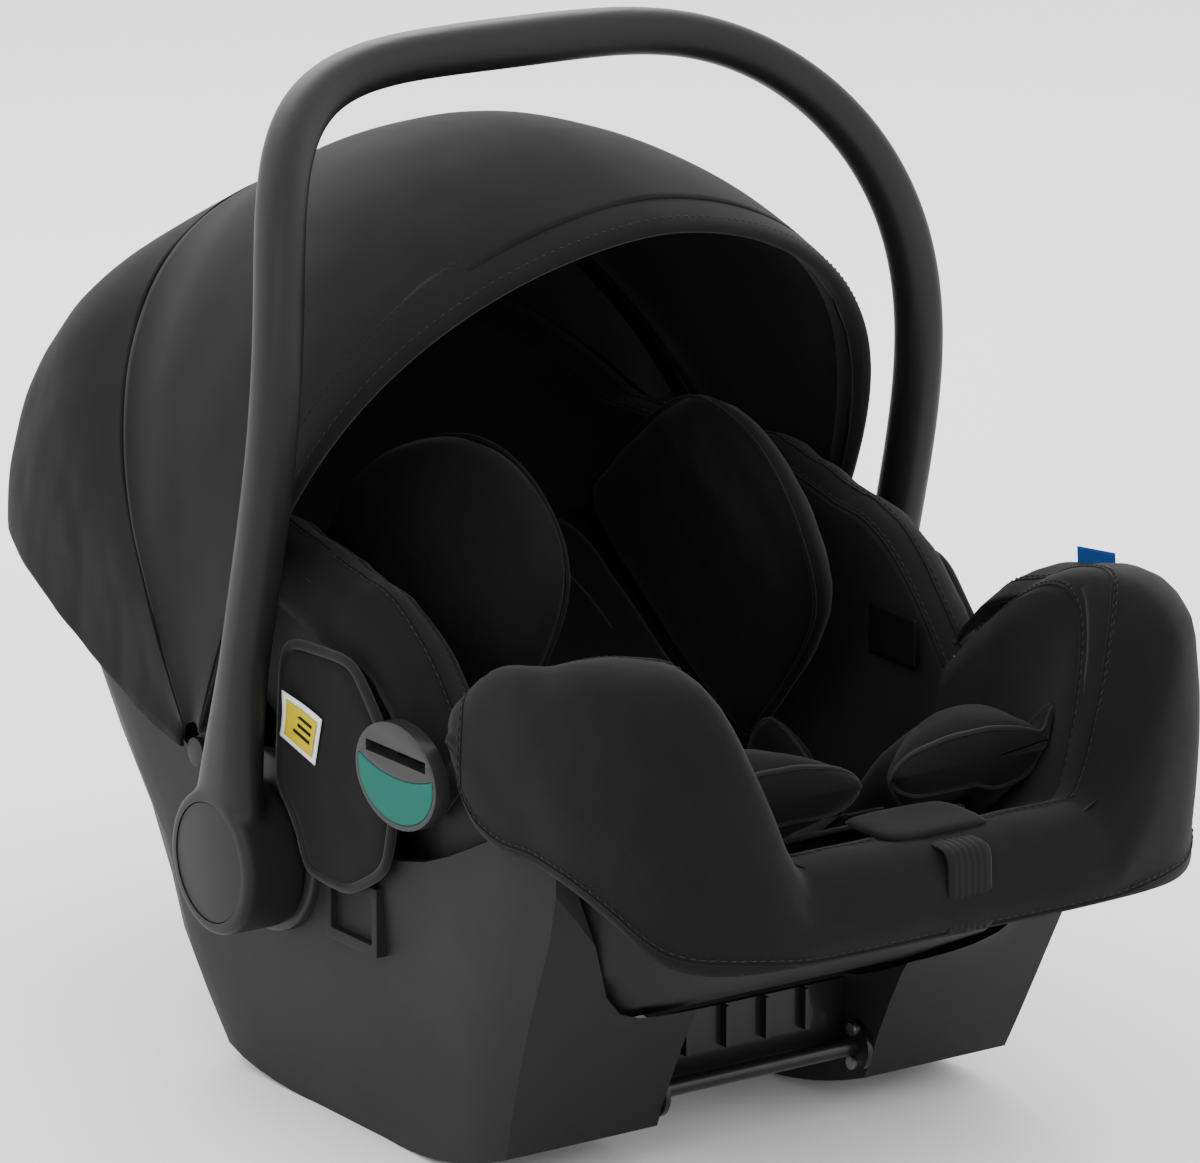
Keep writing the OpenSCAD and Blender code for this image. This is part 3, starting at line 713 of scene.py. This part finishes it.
def canopy_sheet(low, high, steps, relief, sag=0.0):
    """A panel's grid from angle low to high, with its low edge let down by sag at the sides."""
    i = np.linspace(-0.97, 0.97, 190)[:, None]
    t = np.linspace(0, 1, steps)[None, :]
    phi = mix(low - sag * np.abs(i) ** 6, high, t)
    p = canopy_arch(phi, i + 0 * t, 0)
    n = grid_normals(p)
    if np.mean(n[:, :, 2]) < 0:
        n = -n
    return p + n * relief(p, phi, i + 0 * t)[..., None]


def arc_ends(low, high):
    """The places where the middle line of a canopy panel starts and ends."""
    middle = np.array([0.0])
    return [tuple(place(canopy_arch(np.array([phi]), middle, 0))[0].tolist())
            for phi in (low, high)]


def build_canopy():
    """The two cloth panels, the hem round the front bow and the piping over the middle bow."""
    def front_relief(p, phi, i):
        share = np.clip((phi - MIDDLE_BOW) / (FRONT_BOW - 4 - MIDDLE_BOW), 0, 1)
        taut = -2.2 * np.sin(math.pi * share)
        pull = rough(p * [1, 0.35, 0.35], 26, 2.0) * 1.6 * ease((np.abs(i) - 0.55) / 0.4)
        return taut + rough(p, 90, 7.0) * 1.2 + pull

    def rear_relief(p, phi, i):
        low = np.clip((MIDDLE_BOW - phi) / 40, 0, 1)
        return (-1.5 * np.sin(math.pi * low) + rough(p, 80, 4.0) * 1.6
                + rough(p * [1, 1, 0.4], 22, 8.0) * 0.9 * ease(low * 1.6))

    p = canopy_sheet(MIDDLE_BOW + 0.15, FRONT_BOW - 3.0, 70, front_relief)
    front = grid_piece("canopy_front_fabric", p, CANOPY, 2.2, inward=False)
    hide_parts("canopy_front_panel")
    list(arc_ends(MIDDLE_BOW + 2, FRONT_BOW - 4))
    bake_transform(front)

    p = canopy_sheet(20, MIDDLE_BOW - 0.15, 60, rear_relief, sag=20)
    rear = grid_piece("canopy_rear_fabric", p, CANOPY, 2.2, inward=False)
    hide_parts("canopy_rear_panel")
    # two points on a line square to the middle bow's plane, the line ending on the bow
    reach = 321
    c, s = math.cos(MIDDLE_BOW * DEG), math.sin(MIDDLE_BOW * DEG)
    end = (0, PIVOT_Y + reach * c, PIVOT_Z + reach * s)
    start = (0, end[1] + 150 * s, end[2] - 150 * c)
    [tuple(q) for q in place([start, end]).tolist()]
    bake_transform(rear)

    # the hem is a rolled band round the front bow
    i = np.linspace(-0.975, 0.975, 220)
    # its section: degrees from the band's middle, and how far inside the canopy
    profile = [(-4.2, 0.2), (-4.0, -0.9), (-3.2, -1.5), (-2, -1.9), (0, -2.2), (2, -2.2),
               (2.9, -1.4), (3.3, 1), (3.1, 3.6), (2.4, 5.6), (0, 7.9), (-2.2, 8.2), (-3.2, 6.5),
               (-3.4, 3)]
    rings = np.stack([canopy_arch(FRONT_BOW - 2 + w, i, d) for w, d in profile], axis=1)
    hem = closed_loft("canopy_hem_band", rings, CANOPY)
    finish_piece(hem, "canopy_front", "canopy_fabric", "canopy_hem")
    across = np.linspace(-0.93, 0.93, 400)
    for k, (w, depth) in enumerate(((-3.2, -1.2), (1.9, -1.9))):
        path = canopy_arch(FRONT_BOW - 2 + w, across, depth)
        centre = canopy_arch(FRONT_BOW - 2 + w, across, 20)
        row = stitches(f"hem_stitches_{k}", path, path - centre, THREAD)
        finish_piece(row, "canopy_front", "canopy_fabric")

    i = np.linspace(-0.88, 0.88, 220)
    piping = tube("canopy_middle_piping", canopy_arch(MIDDLE_BOW, i, 0.4), 1.7, CANOPY, 8)
    finish_piece(piping, "canopy_middle", "canopy_fabric")


build_canopy()


# ---- shapes shared by the soft pieces
def closed_curve(points, count):
    """Evenly spaced points on a smooth closed curve through these points."""
    p = np.asarray(points, float)
    t = np.linspace(0, 1, 12, endpoint=False)[:, None]
    a, b, c, d = np.roll(p, 1, 0), p, np.roll(p, -1, 0), np.roll(p, -2, 0)
    curve = np.concatenate([
        0.5 * (2 * b[k] + (c[k] - a[k]) * t + (2 * a[k] - 5 * b[k] + 4 * c[k] - d[k]) * t**2
               + (3 * b[k] - a[k] - 3 * c[k] + d[k]) * t**3) for k in range(len(p))])
    loop = np.concatenate([curve, curve[:1]])
    run = run_length(loop)
    return walk(loop, run, np.linspace(0, run[-1], count, endpoint=False))


def two_sided(half, top, bottom, count):
    """A closed curve that is alike left and right, through its left half from the bottom up."""
    right = [(-x, y) for x, y in half[::-1]]
    return closed_curve([*half, (0, top), *right, (0, bottom)], count)


def pillow(name, outline, at, top, bottom, material, rings=14, power=4.0, wrinkle=0.6, seed=1.0):
    """A stuffed piece with a seam round its outline. at(u, v, w) places a point w off its middle.

    It is top thick on one side and bottom on the other; a higher power fills it nearer its seam.
    """
    centre = outline.mean(0)
    shares = np.linspace(0.04, 1, rings) ** 0.7
    faces = [(r, top * (1 - r**power) ** 0.5) for r in shares]
    faces += [(r, -bottom * (1 - r**power) ** 0.5) for r in shares[-2::-1]]
    loops = []
    for r, w in faces:
        q = centre + (outline - centre) * r
        loops.append(at(q[:, 0], q[:, 1], np.full(len(q), w)))
    p = np.stack(loops)
    n = grid_normals(p, wrap_v=True)
    n[0], n[-1] = n[1], n[-2]
    depth = np.array([abs(w) for _, w in faces]) / max(top, bottom)
    p = p + n * (rough(p, 30, seed) * wrinkle * ease(depth * 1.5)[:, None])[..., None]
    return closed_loft(name, p, material)


def seam_loop(name, outline, at, w, radius, material=BINDING):
    """Piping round a pillow's seam."""
    path = at(outline[:, 0], outline[:, 1], np.full(len(outline), w))
    return tube(name, path, radius, material, 8, wrap=True, up=(0.3, 0.5, 1))


def strap(name, path, width, thick, ribs):
    """A ribbed webbing strap along a path, flat across the seat."""
    path = resample(path, 3)
    across = np.broadcast_to([1.0, 0, 0], path.shape)
    face = unit(np.cross(np.gradient(path, axis=0), across))
    section = []
    count = ribs * 4
    for k in range(count + 1):
        t = 2 * k / count - 1
        rib = 0.25 * math.cos(2 * math.pi * ribs * k / count)
        section.append((t * width / 2, thick / 2 * (1 - t**8) ** 0.5 + rib * (1 - t**4)))
    section += [(a, -thick / 2 * (1 - (2 * a / width) ** 8) ** 0.5) for a, _ in section[-2:0:-1]]
    rings = np.stack([path + across * a + face * b for a, b in section], axis=1)
    return closed_loft(name, rings, WEBBING)


def cover_z(x, y):
    """Height of the padded cover at a place."""
    x, y = np.broadcast_arrays(np.asarray(x, float), np.asarray(y, float))
    a = np.arctan2(y - RIM_MIDDLE, x)
    r = rim_reach(a, LINER)
    top = rim_z(r * np.cos(a), RIM_MIDDLE + r * np.sin(a)) + 5
    share = np.hypot(x, y - RIM_MIDDLE) / r
    return mix(np.minimum(seat_z(y), top - 4), top, share**8)


def soft(obj, body, slot, *replaced, fill=0.7):
    """As finish_piece, for a stuffed piece."""
    finish_piece(obj, body, slot, *replaced)
    return obj


# ---- the handle
HUB = np.array([0.0, 41.0, 146.0])


def handle_centre(i):
    """The handle bar's middle line, from one hub at i = -1 to the other at i = 1."""
    x, u = arch(i, 3.96, 5.44, 0.86)
    y = HUB[1] - 33.5 * u - 159.5 * u**2 + 239.8 * u**4
    return xyz(213 * x, y, HUB[2] + 412 * u)


def build_handle():
    """The bar melted into its two hubs, with a cavity in each for its button, gear and bolt."""
    i = np.linspace(-1, 1, 301)
    c = handle_centre(i)
    t = np.gradient(c, axis=0)
    t = unit(t)
    b = np.array([0, 1, 0]) - t[:, 1:2] * t
    b = unit(b)
    out = np.cross(b, t)
    side = ease(2 * np.abs(i))
    flare = np.clip((np.abs(i) - 0.84) / 0.16, 0, 1)
    half_t = mix(13.6, 12.2, side) - 0.6 * flare
    half_w = mix(15.5, 14, side) + 18 * flare**1.2
    a = np.linspace(0, 2 * math.pi, 36, endpoint=False)
    ca, sa = np.cos(a), np.sin(a)
    wide = np.sign(ca) * np.abs(ca) ** 0.82
    high = np.sign(sa) * np.abs(sa) ** 0.82
    rings = (c[:, None] + (half_t[:, None] * high)[..., None] * out[:, None]
             + (half_w[:, None] * wide)[..., None] * b[:, None])
    parts = [closed_loft("handle_bar", rings, HANDLE)]

    around = np.arange(96) * 2 * math.pi / 96
    # the hub's turned section: distance from the seat's middle, and radius
    profile = [(188, 37.5), (189, 39.6), (192, 40), (221, 40), (223.8, 39.2), (225, 37.6)]
    for s in (-1, 1):
        hub = [xyz(np.full(96, s * x), HUB[1] + r * np.cos(around), HUB[2] + s * r * np.sin(around))
               for x, r in profile]
        parts.append(closed_loft("hub", hub, HANDLE))
    bar = join("handle_bar", *parts)
    melt = bar.modifiers.new("melt", "REMESH")
    melt.mode = "VOXEL"
    melt.voxel_size = 1.7 * MM
    melt.use_smooth_shade = True
    ease_edges = bar.modifiers.new("ease_edges", "SMOOTH")
    ease_edges.factor = 0.6
    ease_edges.iterations = 9
    # the cavity for the button and its gear, and the bolt's hole: from, to, radius
    cavities = ((193, 230, 33.0), (186, 194, 5.2))
    cutters = []
    for s in (-1, 1):
        for x0, x1, r in cavities:
            at = (s * (x0 + x1) / 2 * MM, (HUB[1] - MIDDLE_Y) * MM, HUB[2] * MM)
            bpy.ops.mesh.primitive_cylinder_add(vertices=96, radius=r * MM, depth=(x1 - x0) * MM,
                                                location=at, rotation=(0, math.pi / 2, 0))
            cutters.append(bpy.context.object)
            cut = bar.modifiers.new("cavity", "BOOLEAN")
            cut.operation = "DIFFERENCE"
            cut.solver = "EXACT"
            cut.object = cutters[-1]
    bpy.context.view_layer.objects.active = bar
    bpy.ops.object.select_all(action="DESELECT")
    bar.select_set(True)
    for mod in [m.name for m in bar.modifiers]:
        bpy.ops.object.modifier_apply(modifier=mod)
    for cutter in cutters:
        bpy.data.objects.remove(cutter)
    bar.data.materials.clear()
    bar.data.materials.append(HANDLE)
    bar.modifiers.new("smooth", "NODES").node_group = SMOOTH
    finish_piece(bar, "handle", "handle_plastic", "handle_outer", "handle_inner", "handle_hub_left",
                 "handle_hub_right")


build_handle()


# ---- head support
BACK_Y, BACK_LIFT = -18, 14  # where its frame starts: along the seat, and above it
BACK_RUN, BACK_RISE = 0.848048, 0.529919  # the slide's direction, up the back


def on_back(x, s, n):
    """A place in the head support's own frame: s up the back, n towards the child."""
    x, s, n = np.broadcast_arrays(x, s, n)
    return xyz(x, BACK_Y + BACK_RUN * s - BACK_RISE * n,
               float(seat_z(BACK_Y)) + BACK_LIFT + BACK_RISE * s + BACK_RUN * n)


def build_head_support():
    """Two padded wings, and between them a base with a sewn hollow."""
    side = closed_curve([(8, 4), (-3, 22), (-6, 64), (-3, 108), (10, 138), (34, 156), (66, 163),
                         (98, 159), (130, 143), (156, 114), (174, 78), (182, 42), (178, 12),
                         (90, 3)], 132)

    def wing(s, n, w):
        lean = 89 + 6 * ease((n - 20) / 60) - 16 * ease((n - 95) / 70)
        return on_back(-(lean - w), s, n)

    near = pillow("head_wing_left", side, wing, 19, 17, INNER_SHADED, 18, 5, 0.9, 4.4)
    far = mirrored(near)
    rim = seam_loop("head_piping_left", side, wing, 6.5, 1.1, INNER_SHADED)
    rim_far = mirrored(rim)

    base = two_sided([(-58, 0), (-62, 40), (-64, 110), (-60, 168), (-30, 184)], 187, -5, 110)
    middle = pillow("head_base", base, lambda x, s, w: on_back(x, s, 12.5 + w), 10, 11.5, INNER_SHADED,
                    12, 6, 0.8, 2.2)
    hollow = closed_curve([(0, 34), (-26, 44), (-34, 90), (-26, 134), (0, 146), (26, 134), (34, 90),
                           (26, 44)], 80)
    dish = tube("head_base_seam", on_back(hollow[:, 0], hollow[:, 1], 22.0), 0.9, THREAD, 6,
                wrap=True)
    soft(near, "head_support", "inner_fabric", "head_pad")
    for o in (far, middle):
        soft(o, "head_support", "inner_fabric")
    for o in (rim, rim_far, dish):
        finish_piece(o, "head_support", "inner_fabric")


build_head_support()


# ---- cushions on the seat
def build_cushions():
    """The body insert with its two bolsters, and the two hip bolsters."""
    outline = two_sided([(-58, -243), (-66, -228), (-68, -190), (-68, -140), (-68, -90),
                         (-66, -48), (-56, -35)], -33, -245, 150)

    def on_seat(x, y, w):
        crown = 1 - (np.abs(x) / 70) ** 4
        return xyz(x, y, cover_z(x, y) + 14.5 + w * (0.8 + 0.2 * crown))

    insert = pillow("body_insert_cushion", outline, on_seat, 6.3, 6.3, INNER_SHADED, 16, 8, 0.9, 6.0)
    soft(insert, "shell", "inner_fabric", "body_insert")
    trim = seam_loop("body_insert_piping", outline, on_seat, 0.5, 1.5, THREAD)
    finish_piece(trim, "shell", "inner_fabric")

    lens = closed_curve([(-112, 6), (-100, 26), (-72, 44), (-44, 42), (-30, 24), (-32, 6),
                         (-70, 0)], 90)

    def bolster_at(y, h, w):
        x = -(80 + 0.12 * h - w)
        return xyz(x, y, cover_z(-80 + 0 * y, y) + 6 + h)

    near = pillow("body_bolster_left", lens, bolster_at, 11, 9, INNER_SHADED, 14, 4, 0.8, 1.9)
    for o in (near, mirrored(near)):
        soft(o, "shell", "inner_fabric")
    trim = seam_loop("body_bolster_piping_left", lens, bolster_at, 1.0, 1.2, THREAD)
    for o in (mirrored(trim), trim):
        finish_piece(o, "shell", "inner_fabric")

    # a hip bolster is a loft along the seat that lies on the cover inside and out
    rings, count, outer = [], 46, 118
    a = np.arange(count) * 2 * math.pi / count
    for t in np.linspace(0, 1, 40):
        y = mix(-256.5, -157.5, t)
        inner = mix(5, 40, ease(2 * t))
        plump = max((1 - abs(2 * t - 1) ** 5) ** 0.5, 0.08)
        tall = 20 + 11 * math.sin(math.pi * t)
        z = float(seat_z(y)) + 25 + tall
        x = (inner + outer) / 2 - (outer - inner) / 2 * np.cos(a) * (0.8 + 0.2 * plump)
        under = cover_z(x, np.full(count, y)) + mix(23, 3, np.clip((x - 72) / 8, 0, 1))
        high = np.maximum(z + tall * np.sin(a) * plump, under + (1 + np.sin(a)) * 2)
        rings.append(xyz(-x, np.full(count, y), high))
    p = np.array(rings)
    n = grid_normals(p, wrap_v=True)
    crease = -1.6 * bump(p[..., 1], -222, 5)
    p = p + n * -(crease + rough(p, 22, 3.0) * 0.9)[..., None] * np.array([1, 0.2, 1])
    near = closed_loft("hip_bolster_cushion_left", p, INNER_SHADED)
    far = mirrored(near)
    soft(near, "shell", "inner_fabric", "hip_bolster_left")
    soft(far, "shell", "inner_fabric", "hip_bolster_right")
    loop = p[3] + np.array([0, -0.6, 0])
    path = resample(np.concatenate([loop, loop[:1]]), 3)[:-1]
    trim = tube("hip_piping_left", path, 1.2, THREAD, 6, wrap=True)
    for o in (trim, mirrored(trim)):
        finish_piece(o, "shell", "inner_fabric")


build_cushions()


# ---- harness
def build_harness():
    """Shoulder straps with their pads, and the crotch strap."""
    for s, name in ((-1, "left"), (1, "right")):
        y = np.linspace(-156, -36, 30)
        x = s * np.interp(y, [-156, -36], [21, 38])
        path = xyz(x, y, cover_z(x, y) + 26)
        web = strap(f"shoulder_webbing_{name}", path, 36, 1.9, 9)
        finish_piece(web, "shell", "webbing", f"shoulder_strap_{name}")
        outline = two_sided([(-20, -127), (-24, -118), (-24.5, -88), (-24, -58), (-20, -49)], -48,
                            -128, 90)

        def at(u, y, w, s=s):
            x = u + s * np.interp(y, [-128, -48], [25, 36.5])
            return xyz(x, y, cover_z(x, y) + 31.8 + w)

        pad = pillow(f"shoulder_cushion_{name}", outline, at, 3.2, 3.2, INNER_SHADED, 10, 8, 0.4, 5.0 + s)
        soft(pad, "shell", "inner_fabric", f"shoulder_pad_{name}", fill=0.6)
    y = np.linspace(-238, -211, 12)
    path = xyz(0 * y, y, cover_z(0 * y, y) + 24.5)
    web = strap("crotch_webbing", path, 30, 1.9, 7)
    finish_piece(web, "shell", "webbing", "crotch_strap")


build_harness()


# ---- flaps, straps and tags
def hull_outline(circles, step):
    """Points round the tight band over some circles, each (y, z, radius)."""
    pts = sorted({(round(y + r * math.cos(a), 3), round(z + r * math.sin(a), 3))
                  for y, z, r in circles for a in np.linspace(0, 2 * math.pi, 49)})

    def half(seq):
        out = []
        for q in seq:
            while len(out) > 1 and ((out[-1][0] - out[-2][0]) * (q[1] - out[-2][1])
                                    - (out[-1][1] - out[-2][1]) * (q[0] - out[-2][0])) <= 0:
                out.pop()
            out.append(q)
        return out[:-1]

    loop = np.array(half(pts) + half(pts[::-1]))
    loop = np.concatenate([loop, loop[:1]])
    run = run_length(loop)
    return walk(loop, run, np.linspace(0, run[-1], int(run[-1] / step), endpoint=False))


def build_sides():
    """The two side flaps with their binding, and the adjuster's cover with its pull strap."""
    flap = hull_outline([(-84, 222, 11), (-72, 176, 13), (-44, 158, 11), (-8, 158, 9), (12, 192, 9),
                         (6, 262, 9), (-48, 262, 11)], 3)
    # it keeps clear of the handle's hub, and its corners are rounded
    off = flap - HUB[1:]
    far_enough = np.maximum(np.linalg.norm(off, axis=1, keepdims=True), 46.5)
    flap = HUB[1:] + unit(off) * far_enough
    for _ in range(14):
        flap = (np.roll(flap, 1, 0) + 2 * flap + np.roll(flap, -1, 0)) / 4

    def at(y, z, w):
        return xyz(-191.6 - w, y, z)

    near = pillow("side_flap_cushion_left", flap, at, 3.0, 2.6, COVER, 12, 6, 0.5, 3.3)
    trim = seam_loop("side_flap_binding_left", flap, at, 0.2, 2.9, BINDING)
    far, trim_far = mirrored(near), mirrored(trim)
    soft(near, "shell", "cover_fabric", "side_flap_left")
    soft(far, "shell", "cover_fabric", "side_flap_right")
    for o in (trim, trim_far):
        finish_piece(o, "shell", "cover_fabric")

    lip = closed_curve([(-34, -284), (-31, -303), (-18, -307), (0, -307.5), (18, -307), (31, -303),
                        (34, -284), (31, -266), (18, -262), (0, -261.5), (-18, -262),
                        (-31, -266)], 90)
    flap = pillow("adjuster_cover", lip, lambda x, y, w: xyz(x, y, 212.1 + w), 2.4,
                  2.3, COVER, 10, 7, 0.3, 8.0)
    soft(flap, "shell", "cover_fabric", "adjuster_flap")
    path = [(2, -297, 208.6), (2, -318, 208.6), (2, -325, 207.2), (2, -327.6, 202),
            (2, -328.2, 185), (2, -328.2, 165)]
    pull = strap("adjuster_webbing", path, 28, 1.6, 7)
    finish_piece(pull, "shell", "webbing", "adjuster_strap")


build_sides()


def label(name, corner, u, v, nu, nv, material, curl=0.0, thick=0.5):
    """A flat label from its corner and two edges, with the far corner curling outwards."""
    o, u, v = (np.array(c, float) for c in (corner, u, v))
    a, b = np.meshgrid(np.linspace(0, 1, nu), np.linspace(0, 1, nv), indexing="ij")
    p = o + a[..., None] * u + b[..., None] * v
    p = p + (curl * ease((a + b - 1.1) / 0.9) * (a + b - 1))[..., None] * np.array([-1.0, 0, 0])
    return grid_piece(name, p, material, thick)


def build_tags():
    """A framed label with three plain bars, a blue one at the foot end and a dark one inside."""
    tag = label("side_label", (-195.8, -20, 210), (-0.8, 33, 9), (-0.4, -8, 27), 24, 20, WHITE, 3.0)
    finish_piece(tag, "shell", "yellow_tag", "side_tag")
    face = label("side_label_face", (-196.7, -18.2, 214), (-0.6, 26, 7), (-0.3, -6, 20.5), 20, 16,
                 YELLOW, 1.5, 0.25)
    finish_piece(face, "shell", "yellow_tag")
    for k, (v, w) in enumerate(((0.72, 17), (0.5, 12), (0.28, 15))):
        bar = label(f"side_label_bar_{k}", (-197.2, -15 - 6 * v, 215 + 20.5 * v),
                    (-0.3, w, w * 0.27), (0, -0.5, 1.8), 6, 3, INK, 0, 0.2)
        finish_piece(bar, "shell", "yellow_tag")
    blue = label("foot_label", (178.2, -222, 296), (0, 32, -3), (0.4, 2, 17), 16, 12, BLUE)
    finish_piece(blue, "shell", "blue_tag", "foot_tag")
    dark = label("side_label_inside", (135.4, -104, 228.6), (0, 42, 1), (0, 0, 28), 16, 12, INK)
    finish_piece(dark, "shell", "inner_fabric", "side_patch")


build_tags()

# ---- light, floor and camera
FLOOR = 30  # half the floor's width, in metres
floor_mesh = bpy.data.meshes.new("studio_floor")
floor_mesh.from_pydata([(-FLOOR, -FLOOR, 0), (FLOOR, -FLOOR, 0), (FLOOR, FLOOR, 0),
                        (-FLOOR, FLOOR, 0)], [], [(0, 1, 2, 3)])
floor = bpy.data.objects.new("studio_floor", floor_mesh)
scene.collection.objects.link(floor)
pale = Nodes("studio_floor", (0.86, 0.86, 0.86), 0.9)
floor_mesh.materials.append(pale.material)

world = bpy.data.worlds.new("studio")
world.use_nodes = True
world.node_tree.nodes["Background"].inputs["Color"].default_value = (1, 1, 1, 1)
world.node_tree.nodes["Background"].inputs["Strength"].default_value = 2.3
scene.world = world


def area_light(name, at, towards, size, power):
    """A rectangular lamp; places and size in metres, power in watts."""
    data = bpy.data.lights.new(name, "AREA")
    data.shape = "RECTANGLE"
    data.size, data.size_y = size
    data.energy = power
    obj = bpy.data.objects.new(name, data)
    obj.location = at
    obj.rotation_euler = (Vector(towards) - Vector(at)).to_track_quat("-Z", "Y").to_euler()
    scene.collection.objects.link(obj)


area_light("key", (-1.9, -1.2, 1.9), (0, 0, 0.25), (1.4, 1.4), 13)
area_light("fill", (1.6, -2.2, 1.3), (0, 0, 0.25), (1.6, 1.6), 8)
area_light("back", (0.8, 2.0, 1.6), (0, 0, 0.3), (1.4, 1.0), 22)

camera_data = bpy.data.cameras.new("camera")
camera = bpy.data.objects.new("camera", camera_data)
scene.collection.objects.link(camera)
scene.camera = camera
azimuth, elevation, distance = -34.5 * DEG, 15 * DEG, 3.784
aim = Vector((0, -MIDDLE_Y * MM, 0.276))
back = Vector((math.sin(azimuth) * math.cos(elevation), -math.cos(azimuth) * math.cos(elevation),
               math.sin(elevation)))
camera.location = aim + back * distance
camera.rotation_euler = (-back).to_track_quat("-Z", "Y").to_euler()
camera_data.sensor_width = 36
camera_data.lens = 210
camera_data.clip_end = 100
